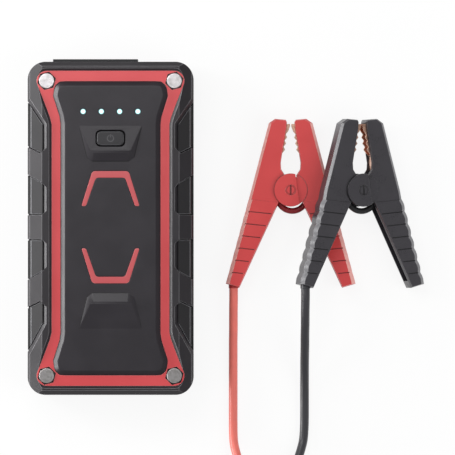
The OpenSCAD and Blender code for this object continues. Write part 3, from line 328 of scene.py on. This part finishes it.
# %% Pads with a painted-shade lip, and a printed sign
PAD_SHADED_LIP_X = 40.3
pad_rubber = moulded("pad_rubber", tone(54, 53, 55), 0.54, grain=0.5, depth=0.02, Specular_IOR_Level=0.35)
across, along, up = pad_rubber.axes()
face = pad_rubber.mix(tone(32, 31, 33), tone(40, 39, 41), pad_rubber.noise(0.5))
# Pad edges painted paler: part wear, part painted highlight.
face = pad_rubber.mix(face, tone(140, 140, 144), pad_rubber.mark("rubbed_and_highlit"))
# The outer lip is painted near black: painted shade along the side.
pad_rubber.put(Base_Color=pad_rubber.mix(face, tone(20, 20, 21), abs(across) > PAD_SHADED_LIP_X))

BUTTON_Y = 44.85
SIGN_RADIUS, SIGN_BAR_Y = 1.55, 1.25
button_rubber = moulded("button_rubber", tone(44, 43, 46), 0.45, grain=0.4, depth=0.01)
across, along, up = button_rubber.axes()
height = along - BUTTON_Y
ring = abs((across ** 2 + height ** 2) ** 0.5 - SIGN_RADIUS).ramp(0.12, 0.3, 1, 0)
gap = abs(across).ramp(0.45, 0.6) + (height > 0).ramp(0, 1, 1, 0)
bar = abs(across).ramp(0.12, 0.28, 1, 0) * abs(height - SIGN_BAR_Y).ramp(0.7, 0.9, 1, 0)
sign = (ring * gap + bar).ramp(0.1, 0.9)
rubber = button_rubber.mix(tone(32, 31, 34), tone(40, 39, 42), button_rubber.noise(0.4))
# Button edges painted paler: part wear, part painted highlight.
rubber = button_rubber.mix(rubber, tone(76, 76, 79), button_rubber.mark("rubbed_and_highlit"))
button_rubber.put(Base_Color=button_rubber.mix(rubber, tone(90, 89, 92), sign * 0.6))
print("two-shot pads and button are written")

# %% [markdown]
# ## Silicone leads
# Extruded insulation is smoother than a moulding, with a soft sheen along its length and faint drag
# lines from the die. Noise that is stretched along the lead gives those lines.

# %% Lead finishes
def silicone(name, colour, roughness=0.38):
    finish = Finish(name, colour, roughness, Coat_Roughness=0.3)
    drag = finish.noise(0.5, 2, stretch=(1, 0.04, 1))
    dust = finish.noise(5, 3).ramp(0.35, 0.75)
    finish.put(Base_Color=finish.mix(colour, shade(colour, 1.12, 0.002), dust * 0.7 + drag * 0.3),
               Roughness=roughness + dust * 0.12, Coat_Weight=0.25 - dust * 0.2)
    return finish.relief(drag, 0.015)


lead_red = silicone("lead_red", tone(226, 114, 103))
lead_black = silicone("lead_black", tone(50, 50, 54))
sleeve_red = silicone("sleeve_red", tone(178, 48, 48), 0.45)
wire_red = silicone("wire_red", tone(138, 26, 34), 0.4)
wire_black = silicone("wire_black", tone(28, 28, 30), 0.4)
print("lead finishes:", lead_red.material.name, lead_black.material.name)

# %% [markdown]
# ## Metals
# The screw heads are turned, so they carry fine rings about their own centres. The jaws are stamped
# copper sheet that has dulled unevenly. Springs and shells are drawn or rolled, with fine lines one way.

# %% Metal finishes
SCREW_AT = (31.85, 73.55)
# The second grey is tarnished metal, and painted shade on the lower screws.
SCREW_GREY, TARNISH_AND_SHADE_GREY = tone(226, 222, 224), tone(150, 148, 144)


def metal(name, colour, roughness, deeper=0.75, size=3.0, stretch=(1, 1, 1), depth=0.004):
    finish = Finish(name, colour, roughness, Metallic=1.0)
    lines = finish.noise(0.25, 2, stretch=stretch)
    stains = finish.noise(size, 4).ramp(0.3, 0.72)
    finish.put(Base_Color=finish.mix(shade(colour, deeper), colour, stains),
               Roughness=roughness + (1 - stains) * 0.14 + (lines - 0.5) * 0.1)
    return finish.relief(lines, depth)


copper = metal("copper", tone(252, 204, 178), 0.26, deeper=0.62, size=1.6)
gold = metal("gold", tone(245, 205, 120), 0.22, deeper=0.85)
nickel = metal("nickel", tone(200, 200, 198), 0.3, stretch=(1, 0.05, 1))
spring_steel = metal("spring_steel", tone(190, 190, 194), 0.25, stretch=(0.1, 1, 1))
cell_foil = metal("cell_foil", tone(196, 198, 202), 0.35, size=9, depth=0.02)
reflector_chrome = metal("reflector_chrome", tone(236, 236, 236), 0.08, deeper=0.95, depth=0.001)

turned_metal = Finish("turned_metal", SCREW_GREY, 0.34, Metallic=1.0)
across, along, up = turned_metal.axes()
reach = ((abs(across) - SCREW_AT[0]) ** 2 + (abs(along) - SCREW_AT[1]) ** 2) ** 0.5
rings = (reach * 42).wave() * 0.5 + 0.5
rim = reach.ramp(2.7, 3.5)
worn = turned_metal.noise(2.2, 4)
# The lower screws are painted darker as painted shade, for their dimmer reflection; the noise adds real
# tarnished patches.
tarnish_and_shade = worn.ramp(0.35, 0.8) * 0.5 + (along > 0).ramp(0, 1, 1, 0) * 0.45
turned_metal.put(Base_Color=turned_metal.mix(SCREW_GREY, TARNISH_AND_SHADE_GREY, tarnish_and_shade),
                 Roughness=0.3 + rings * 0.08 + rim * 0.06 + (worn - 0.5) * 0.2)
turned_metal.relief(rings * 0.5 + worn * 0.5, 0.006)
print("metal finishes are written")

# %% [markdown]
# ## Light guides, lens and circuit boards
# A charge light is a clear rod with a diode behind it: white in the middle, bluish green towards its
# rim. Emission that falls off with the distance from each rod's own centre does that in one material.

# %% Lights, lens and boards
LIGHT_PITCH, LIGHT_Y = 9.1, 58.25
charge_glow = Finish("charge_glow", tone(120, 150, 152), 0.3)
across, along, up = charge_glow.axes()
off_centre = across - ((across / LIGHT_PITCH).whole() + 0.5) * LIGHT_PITCH
reach = (off_centre ** 2 + (along - LIGHT_Y) ** 2) ** 0.5
heart = charge_glow.mix(tone(236, 255, 252), tone(150, 206, 208), reach.ramp(0.5, 1.15))
edge = reach.ramp(0.95, 1.4)
charge_glow.put(Emission_Color=charge_glow.mix(heart, tone(40, 66, 70), edge),
                Base_Color=charge_glow.mix(tone(150, 190, 190), tone(48, 64, 68), edge),
                Emission_Strength=1.25)
charge_glow.relief(charge_glow.noise(0.6), 0.01)

box_lamp = Finish("box_lamp", tone(120, 226, 140), 0.3, Emission_Strength=0.3,
                  Emission_Color=tone(110, 240, 140))
box_lamp.put(Roughness=0.25 + box_lamp.noise(0.7) * 0.2)

diode = Finish("diode", tone(238, 232, 190), 0.4)
diode.put(Base_Color=diode.mix(tone(240, 236, 214), tone(226, 196, 70), diode.noise(1.2).ramp(0.4, 0.6)))

lens_clear = Finish("lens_clear", tone(222, 232, 240), 0.08, IOR=1.5, Transmission_Weight=0.9)
lens_clear.put(Roughness=0.05 + lens_clear.noise(2).ramp(0.4, 0.8) * 0.1)

solder_mask = Finish("solder_mask", tone(20, 84, 50), 0.35)
across, along, up = solder_mask.axes()
tracks = ((across * 2.6 + solder_mask.noise(6) * 9).wave() > 0.55) * ((along * 1.7).wave() * 0.5 + 0.5)
solder_mask.put(Base_Color=solder_mask.mix(tone(18, 78, 46), tone(44, 122, 74), tracks))
solder_mask.relief(tracks, 0.03)

board_epoxy = moulded("board_epoxy", tone(40, 40, 43), 0.6, grain=0.4)
print("finishes in all:", len(bpy.data.materials))

# %% [markdown]
# ## Softened edges
# A CAD edge is perfectly sharp, and a moulded one never is: it has a small radius, which catches a thin
# line of light. The solids themselves stay untouched, so a copy of each visible solid gets its loose
# triangles welded, its flat faces joined up again, and its sharp edges rounded by a fraction of a
# millimetre. Where a wall is too thin for that radius its faces would fold over each other, so the
# radius shrinks until none does. Outer edges are marked to be painted paler, part wear and part painted
# highlight, and inner corners and groove floors are marked for painted shade.

# %% Weld a solid and round its edges
WELD = 0.002 * MM
NARROW = 0.8 * MM
LEANING = (0.55, 0.95)
CLEAR_BEND, GROOVE_BEND = 0.1, -0.3
FOLD_AREA = 0.02 * MM * MM
TRIES, SHRINK = 6, 0.75


def welded(solid):
    """The solid's loose triangles as one closed mesh with whole flat faces."""
    build = bmesh.new()
    build.from_mesh(solid)
    bmesh.ops.remove_doubles(build, verts=build.verts, dist=WELD)
    bmesh.ops.dissolve_limit(build, angle_limit=math.radians(0.5), verts=build.verts, edges=build.edges)
    return build


def soften(build, edges, radius, segments=2):
    return bmesh.ops.bevel(build, geom=edges, offset=radius * MM, offset_type="OFFSET", segments=segments,
                           profile=0.6, affect="EDGES", clamp_overlap=False, loop_slide=True)["faces"]


def is_sharp(edge, from_angle, crease):
    """Sharper than the first angle, or than the second one where a face lies almost level."""
    if len(edge.link_faces) != 2:
        return False
    limit = crease if min(f.normal.z for f in edge.link_faces) > 0.95 else from_angle
    return edge.calc_face_angle(0) > math.radians(limit)


def round_edges(build, radius, from_angle, crease, level=None, shaded_bevels=False):
    """Rounds the sharp edges, marks them paler or for painted shade, and returns the area that folded over.

    Outer edges are painted paler, part wear and part painted highlight. The level is a clamp's flat side:
    its chamfers, which lean away from it, get a painted highlight. Slim faces between two inner corners are
    the floors of grooves, and they get painted shade."""
    rubbed_and_highlit, sunk, slim = (build.faces.layers.float.new(label) for label in ("rubbed_and_highlit", "sunk", "slim"))
    whole = build.faces.layers.int.new("whole")
    for face in build.faces:
        # Clamp chamfers are marked for a painted highlight.
        face[rubbed_and_highlit] = float(level is not None and LEANING[0] < abs(face.normal.dot(level)) < LEANING[1])
    for face in build.faces:
        longest = max(e.calc_length() for e in face.edges)
        if face.calc_area() / longest < NARROW and longest > 2 * NARROW:
            face[slim] = 1.0
            sides = [e for e in face.edges if e.calc_length() > 0.6 * longest and len(e.link_faces) == 2]
            groove = all(e.calc_face_angle_signed(0) < GROOVE_BEND for e in sides)
            # Groove floors are marked for painted shade.
            face[sunk] = float(len(sides) > 1 and groove)
    sharp = [e for e in build.edges if is_sharp(e, from_angle, crease)]
    # Convex bevels are painted paler, part wear and part painted highlight; concave ones, and every bevel of
    # a pin, get painted shade.
    for face in soften(build, sharp, radius):
        bend = sum(e.calc_face_angle_signed(0) for e in face.edges)
        beside = any(other[slim] for e in face.edges for other in e.link_faces if other is not face)
        face[rubbed_and_highlit] = float(bend > CLEAR_BEND and not beside and not shaded_bevels)
        face[sunk] = float(bend < -CLEAR_BEND or shaded_bevels)
    wide = [f for f in build.faces if len(f.verts) > 4]
    facing = [f.normal.copy() for f in wide]
    for i, face in enumerate(wide):
        face[whole] = i + 1
    bmesh.ops.triangulate(build, faces=wide)
    return sum(f.calc_area() for f in build.faces
               if f[whole] and f.calc_area() > 1e-12 and f.normal.dot(facing[f[whole] - 1]) < 0)


print("solids can be welded and rounded")

# %% Copies with rounded edges
dressed = {}


def dress(node, radius, from_angle=25, crease=25, smooth_to=40, **marks):
    """A copy of a CAD solid with soft edges, whose large faces keep their flat look."""
    flat = welded(nodes[node].data)
    for _ in range(TRIES):
        build = flat.copy()
        folded = round_edges(build, radius, from_angle, crease, **marks)
        if folded < FOLD_AREA:
            break
        radius *= SHRINK
    mesh = bpy.data.meshes.new("soft_" + node)
    build.to_mesh(mesh)
    build.free()
    flat.free()
    mesh.shade_smooth()
    mesh.set_sharp_from_angle(angle=math.radians(smooth_to))
    made = bpy.data.objects.new("soft_" + node, mesh)
    scene.collection.objects.link(made)
    even = made.modifiers.new("even", "WEIGHTED_NORMAL")
    even.mode, even.weight, even.keep_sharp = "FACE_AREA", 100, True
    plain = bpy.data.meshes.new_from_object(made.evaluated_get(bpy.context.evaluated_depsgraph_get()))
    made.modifiers.remove(even)
    made.data = plain
    plain.name = "soft_" + node
    bpy.data.meshes.remove(mesh)
    dressed[node] = made
    return radius, folded


EDGE_RADII = {
    "front_shell": 0.25, "back_shell": 0.25, "front_panel": 0.3, "red_frame": 0.1, "left_grips": 0.3,
    "right_grips": 0.3, "accent_stripes": 0.15, "power_button": 0.3, "port_cover": 0.2,
    "port_bezel": 0.15, "corner_screws": 0.2, "red_left_grip": 0.15, "red_right_grip": 0.15,
    "black_left_grip": 0.15, "black_right_grip": 0.15, "red_pivot_pin": 0.1, "black_pivot_pin": 0.1,
    "red_left_jaw": 0.08, "red_right_jaw": 0.08, "black_left_jaw": 0.08, "black_right_jaw": 0.08,
    "box_lid": 0.3, "box_base": 0.3, "plug_body": 0.25}
# A clamp's flat side; its chamfers get a painted highlight.
LEVELS = {"red": Vector((0, 0, 1)), "black": Vector((math.sin(LEAN), 0, math.cos(LEAN)))}
# Pivot pins have all their bevels marked for painted shade, a dark ring round each pin head.
HABITS = {"front_panel": {"crease": 4}, "front_shell": {"smooth_to": 55},
          "red_pivot_pin": {"shaded_bevels": True}, "black_pivot_pin": {"shaded_bevels": True}}
for colour, level in LEVELS.items():
    HABITS.update({f"{colour}_{side}_grip": {"level": level} for side in ("left", "right")})
for node, radius in EDGE_RADII.items():
    used, folded = dress(node, radius, **HABITS.get(node, {}))
    print(f"{node}: radius {used:.2f} mm, {len(dressed[node].data.polygons)} faces, "
          f"{folded / MM / MM:.2f} mm2 folded")

# %% [markdown]
# ## Recipes that grow geometry
# Coils, ribs and contacts repeat by a rule, so they are grown by Geometry Nodes: a tree with named sizes
# says how one ring or bar is made and where its copies stand. Each tree ends by making its copies real
# and giving them their finish, and the result is kept as a plain mesh.

# %% Geometry Nodes from the same class
class Recipe(Graph):
    """A tree whose named sizes are inputs, so that one recipe serves several pieces."""

    KINDS = {int: "NodeSocketInt", float: "NodeSocketFloat", tuple: "NodeSocketVector"}

    def __init__(self, name, **sizes):
        super().__init__(bpy.data.node_groups.new(name, "GeometryNodeTree"))
        self.face = self.tree.interface
        self.face.new_socket(name="Geometry", in_out="OUTPUT", socket_type="NodeSocketGeometry")
        self.face.new_socket(name="Finish", in_out="INPUT", socket_type="NodeSocketMaterial")
        for label, value in sizes.items():
            socket = self.face.new_socket(name=label, in_out="INPUT", socket_type=self.KINDS[type(value)])
            socket.default_value = value
        start = self.tree.nodes.new("NodeGroupInput")
        self.size = {label: Signal(self, start.outputs[label]) for label in ("Finish", *sizes)}

    def vector(self, x=0.0, y=0.0, z=0.0):
        return self.node("ShaderNodeCombineXYZ", None, {0: x, 1: y, 2: z})

    def between(self, value, low, high):
        return self.node("ShaderNodeClamp", None, {"Value": value, "Min": low, "Max": high})

    def tube(self, path, radius, sides):
        """A closed round tube along a curve."""
        ring = self.node("GeometryNodeCurvePrimitiveCircle", None, {"Resolution": sides, "Radius": radius})
        return self.node("GeometryNodeCurveToMesh", None,
                         {"Curve": path, "Profile Curve": ring, "Fill Caps": True})

    def serve(self, geometry):
        real = self.node("GeometryNodeRealizeInstances", None, {"Geometry": geometry})
        made = self.node("GeometryNodeSetMaterial", None, {"Geometry": real, "Material": self.size["Finish"]})
        end = self.tree.nodes.new("NodeGroupOutput")
        self.feed(end.inputs["Geometry"], made)
        return self


def grown(recipe, finish, placing=None, **sizes):
    """The mesh data that a recipe grows with this finish and these sizes, moved to its place."""
    seed = bpy.data.objects.new("seed", bpy.data.meshes.new("seed"))
    scene.collection.objects.link(seed)
    growth = seed.modifiers.new("growth", "NODES")
    growth.node_group = recipe.tree
    given = {"Finish": finish.material, **sizes}
    for socket in recipe.face.items_tree:
        if socket.in_out == "INPUT" and socket.name in given:
            growth[socket.identifier] = given[socket.name]
    mesh = bpy.data.meshes.new_from_object(seed.evaluated_get(bpy.context.evaluated_depsgraph_get()))
    bpy.data.objects.remove(seed)
    mesh.transform(placing or Matrix())
    return mesh


def piece(name, meshes, body, stands_for=(), smooth_to=40):
    """One object from such meshes, with its faces outwards, that rides on a body."""
    build = bmesh.new()
    for mesh in meshes:
        build.from_mesh(mesh)
    bmesh.ops.recalc_face_normals(build, faces=build.faces)
    whole = meshes[0]
    build.to_mesh(whole)
    build.free()
    whole.name = name
    whole.shade_smooth()
    whole.set_sharp_from_angle(angle=math.radians(smooth_to))
    made = bpy.data.objects.new(name, whole)
    scene.collection.objects.link(made)
    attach(made, body)
    if stands_for:
        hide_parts(*stands_for)
    print(name, "has", len(whole.polygons), "faces")
    return made


print("recipes can be written")

# %% [markdown]
# ## The clamp springs
# A torsion spring is a helix whose two ends run off straight, along the tangent, to push the handles
# apart. That is a rule, so the points of a straight line are moved onto it: a point's angle follows its
# number, and past each end of the helix it slides along the tangent instead of turning on.

# %% Torsion springs
PIVOTS = {"red": Matrix.Translation(Vector((90, 19.2, 6.7)) * MM),
          "black": Matrix.Translation(Vector((124.6, 19.1, 14.338)) * MM) @ Matrix.Rotation(LEAN, 4, "Y")}
COIL_FROM, TURNS, LEG_POINTS = math.radians(-100), 3, 6
COIL_TO = COIL_FROM + 2 * math.pi * TURNS - math.radians(160)
spring = Recipe("torsion_spring", Coil=3.9 * MM, Wire=0.6 * MM, Pitch=1.9 * MM, Leg=13 * MM, Wound=110)
wound = spring.size["Wound"]
line = spring.node("GeometryNodeCurvePrimitiveLine", None, {"End": (0, 0, 1)})
line = spring.node("GeometryNodeResampleCurve", None, {"Curve": line, "Count": wound + (2 * LEG_POINTS + 1)})
number = spring.node("GeometryNodeInputIndex")
slid = (spring.between((number - wound - LEG_POINTS) / LEG_POINTS, 0, 1)
        - spring.between((LEG_POINTS - number) / LEG_POINTS, 0, 1)) * spring.size["Leg"]
angle = spring.between((number - LEG_POINTS) / wound, 0, 1) * (COIL_TO - COIL_FROM) + COIL_FROM
cosine, sine, coil = angle.maths("COSINE", angle), angle.wave(), spring.size["Coil"]
on_coil = spring.vector(cosine * coil - sine * slid, sine * coil + cosine * slid,
                        ((angle - COIL_FROM) / (2 * math.pi) - TURNS / 2) * spring.size["Pitch"])
route = spring.node("GeometryNodeSetPosition", None, {"Geometry": line, "Position": on_coil})
spring.serve(spring.tube(route, spring.size["Wire"], 10))
for colour, placing in PIVOTS.items():
    piece(colour + "_torsion_spring", [grown(spring, spring_steel, placing)], "lead_set",
          [colour + "_spring"])

# %% [markdown]
# ## Ribs, rings and contacts
# A rubber gland bends evenly because rings are moulded round it, and a hand grips a smooth box by a row
# of ribs. Both are one bead, repeated along a line. Two recipes do: a ring whose copies shrink along the
# line, and a bar with rounded ends.

# %% Shrinking rings along a line
rings = Recipe("rings", Rings=5, Step=(0.0, 0.0015, 0.0), Radius=0.004, Shrink=0.9, Bead=0.0005)
hoop = rings.node("GeometryNodeCurvePrimitiveCircle", None, {"Resolution": 40, "Radius": 1.0})
hoop = rings.node("GeometryNodeTransform", None, {"Geometry": hoop, "Rotation": (math.pi / 2, 0, 0)})
stops = rings.node("GeometryNodeMeshLine", None, {"Count": rings.size["Rings"], "Offset": rings.size["Step"]})
number = rings.node("GeometryNodeInputIndex")
share = rings.size["Radius"] * rings.size["Shrink"] ** number
hoops = rings.node("GeometryNodeInstanceOnPoints", None,
                   {"Points": stops, "Instance": hoop, "Scale": rings.vector(share, share, share)})
hoops = rings.node("GeometryNodeRealizeInstances", None, {"Geometry": hoops})
rings.serve(rings.tube(hoops, rings.size["Bead"], 8))

for colour, finish, gland_x in (("red", sleeve_red, 65), ("black", wire_black, 93)):
    placing = Matrix.Translation(Vector((gland_x, -132.8, 6.5)) * MM)
    piece(colour + "_gland_rings", [grown(rings, finish, placing, Rings=5, Step=(0, 1.45 * MM, 0),
                                          Radius=3.62 * MM, Shrink=0.942, Bead=0.42 * MM)],
          "lead_set")

# %% Rounded bars in a row
bars = Recipe("bars", Bars=6, Step=(0.002, 0.0, 0.0), Length=0.01, Half_Width=0.0005)
ball = bars.node("GeometryNodeMeshUVSphere", None,
                 {"Segments": 12, "Rings": 7, "Radius": bars.size["Half_Width"]})
height = bars.node("ShaderNodeSeparateXYZ", None, {0: bars.node("GeometryNodeInputPosition")}, output=2)
bar = bars.node("GeometryNodeSetPosition", None,
                {"Geometry": ball, "Offset": bars.vector(z=(height > 0) * bars.size["Length"])})
stops = bars.node("GeometryNodeMeshLine", None, {"Count": bars.size["Bars"], "Offset": bars.size["Step"]})
bars.serve(bars.node("GeometryNodeInstanceOnPoints", None, {"Points": stops, "Instance": bar}))


def at(x, y, z, turn=0.0, axis="X"):
    """A place in millimetres, and a turn about one axis before it."""
    return Matrix.Translation(Vector((x, y, z)) * MM) @ Matrix.Rotation(math.radians(turn), 4, axis)


BOX_SIDES = (57, 101)
piece("box_side_ribs", [
    grown(bars, box_plastic, at(x, -149, z), Bars=15, Step=(0, -2 * MM, 0), Length=long * MM,
          Half_Width=0.55 * MM)
    for x in BOX_SIDES for z, long in ((2.4, 5.6), (10.6, 4.2))], "lead_set")
piece("plug_ribs", [
    grown(bars, plug_nylon, at(73, -198.5, z, 90, "Y"), Bars=4, Step=(0, -2 * MM, 0), Length=12 * MM,
          Half_Width=0.45 * MM) for z in (4.2, 12.8)], "lead_set")
piece("usb_contacts", [
    grown(bars, gold, at(-4, 69.6, z, -90), Bars=4, Step=(2.4 * MM, 0, 0), Length=7 * MM, Half_Width=0.4 * MM)
    for z in (15.4, 21.2)], "pack")
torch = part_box("torch_lens")
middle = [(low + high) / 2 / MM for low, high in zip(*torch)]
piece("torch_lens_rings", [
    grown(rings, lens_clear, at(middle[0], torch[1][1] / MM, middle[2]), Rings=4, Step=(0, 0, 0),
          Radius=5.4 * MM, Shrink=0.72, Bead=0.2 * MM)], "pack")

# %% [markdown]
# ## The inside and the small fittings
# Cells, boards and contacts hide inside the casing, but the ports, the lens and an exploded view show
# them. Their CAD solids already have the right shape, so each only needs its finish.

# %% Finishes on the CAD solids
CAD_FINISHES = {
    "back_shell": casing_plastic, "front_shell": casing_plastic, "front_panel": panel_plastic,
    "red_frame": frame_satin, "left_grips": pad_rubber, "right_grips": pad_rubber,
    "corner_screws": turned_metal, "accent_stripes": stripe_satin, "light_windows": charge_glow,
    "power_button": button_rubber, "button_switch": nickel, "charge_lights": diode,
    "main_board": solder_mask, "board_parts": board_epoxy, "battery_cells": cell_foil,
    "cell_foam": foam, "bus_bars": copper, "output_socket": plug_nylon, "socket_contacts": gold,
    "usb_a_ports": nickel, "usb_c_port": nickel, "port_board": solder_mask, "port_bezel": bezel_plastic,
    "port_cover": cover_rubber, "torch_lens": lens_clear, "torch_reflector": reflector_chrome,
    "torch_light": diode, "box_base": box_plastic, "box_lid": box_plastic, "box_board": solder_mask,
    "box_light": box_lamp, "box_screws": turned_metal, "box_glands": lead_black,
    "plug_body": plug_nylon, "plug_contacts": gold}
for colour, body_finish, wire_finish, sleeve_finish in (
        ("red", clamp_red, wire_red, sleeve_red), ("black", clamp_black, wire_black, lead_black)):
    CAD_FINISHES.update({
        colour + "_left_grip": body_finish, colour + "_right_grip": body_finish,
        colour + "_left_jaw": copper, colour + "_right_jaw": copper, colour + "_pivot_pin": body_finish,
        colour + "_spring": spring_steel, colour + "_bridge_wire": wire_finish,
        colour + "_core": copper, colour + "_sleeve": sleeve_finish,
        colour + "_cable": lead_red if colour == "red" else lead_black})
for name, finish in CAD_FINISHES.items():
    mesh = nodes[name].data
    mesh.materials.clear()
    mesh.materials.append(finish.material)
print("dressed nodes:", len(CAD_FINISHES), "left out:", sorted(set(nodes) - set(CAD_FINISHES)))

# %% Copies ride with their solids and stand for them
BODY_OF = {n: body for body, members in frame["record"]["behaviour"]["bodies"].items() for n in members}
for node, made in dressed.items():
    made.data.materials.clear()
    made.data.materials.append(CAD_FINISHES[node].material)
    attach(made, BODY_OF[node])
    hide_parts(node)
print("copies that stand for a solid:", len(dressed))

# %% [markdown]
# ## Cords, riders and stand-ins
# A piece moves with the body it belongs to, and the CAD solid that a piece stands for is hidden. Each
# lead gets its finish, rides with the lead set, and hides the CAD cable that it replaces.

for lead, length, route, finish, colour in ((red_lead, red_length, RED_ROUTE, lead_red, "red"),
                                            (black_lead, black_length, BLACK_ROUTE, lead_black, "black")):
    lead.data.materials.append(finish.material)
    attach(lead, "lead_set")
    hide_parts(colour + "_cable")
    [v * MM for v in route[0]]
    print(lead.name, "declared")

# %% [markdown]
# ## Floor and light
# A white table in a bright room. A big soft window hangs beyond the top edge and a smaller one high on
# the left. A low strip of light along the left side draws the thin pale lines on the left edges, and a
# soft lamp on the right, which no glossy surface mirrors, opens up the shadows. The table has two
# faces: the object is lit by a plain matt one, and the camera and the mirrors mostly see a clean white
# one, so it is the paper's whiteness that shows and not more light on the object.

# %% Table
floor_mesh = bpy.data.meshes.new("floor")
floor_mesh.from_pydata([(-3, -3, 0), (3, -3, 0), (3, 3, 0), (-3, 3, 0)], [], [(0, 1, 2, 3)])
floor = bpy.data.objects.new("floor", floor_mesh)
floor.location.z = -0.0002
scene.collection.objects.link(floor)
WHITE_SHARE = 0.88
white_table = bpy.data.materials.new("white_table")
white_table.use_nodes = True
white_table.node_tree.nodes.clear()
sweep = Graph(white_table.node_tree)
seen = sum(sweep.node("ShaderNodeLightPath", output=ray) for ray in
           ("Is Camera Ray", "Is Glossy Ray", "Is Transmission Ray"))
matt = sweep.node("ShaderNodeBsdfDiffuse", None, {"Color": (0.9, 0.9, 0.9, 1)})
paper = sweep.node("ShaderNodeEmission", None, {"Color": (1, 1, 1, 1)})
blend = sweep.node("ShaderNodeMixShader", None, {0: seen * WHITE_SHARE, 1: matt, 2: paper})
sweep.node("ShaderNodeOutputMaterial", None, {"Surface": blend})
floor_mesh.materials.append(white_table)
print("table seen as paper:", WHITE_SHARE)

# %% Room and windows
world = bpy.data.worlds.new("studio")
scene.world = world
world.use_nodes = True
sky = world.node_tree.nodes["Background"]
sky.inputs["Color"].default_value = (1, 1, 1, 1)
sky.inputs["Strength"].default_value = 0.34


def window(name, place, aim, size, watts, mirrored=True):
    """Soft rectangular light, aimed at a point."""
    lamp = bpy.data.lights.new(name, "AREA")
    lamp.shape = "RECTANGLE"
    lamp.size, lamp.size_y = size
    lamp.energy = watts
    made = bpy.data.objects.new(name, lamp)
    made.location = place
    made.visible_camera = False
    made.visible_glossy = mirrored
    made.rotation_euler = (Vector(aim) - Vector(place)).to_track_quat("-Z", "Y").to_euler()
    scene.collection.objects.link(made)
    return made


window("ceiling", (-0.11, 0.3, 0.66), (0.02, 0, 0), (0.36, 0.36), 1.5)
window("side_window", (-0.55, 0.24, 0.5), (0.06, 0, 0.02), (0.16, 0.16), 1.2)
window("low_window", (-0.9, 0.08, 0.18), (0.02, 0, 0.02), (1.2, 0.3), 15)
window("fill", (0.6, -0.15, 0.6), (0.1, 0, 0), (0.6, 0.6), 2.9, mirrored=False)
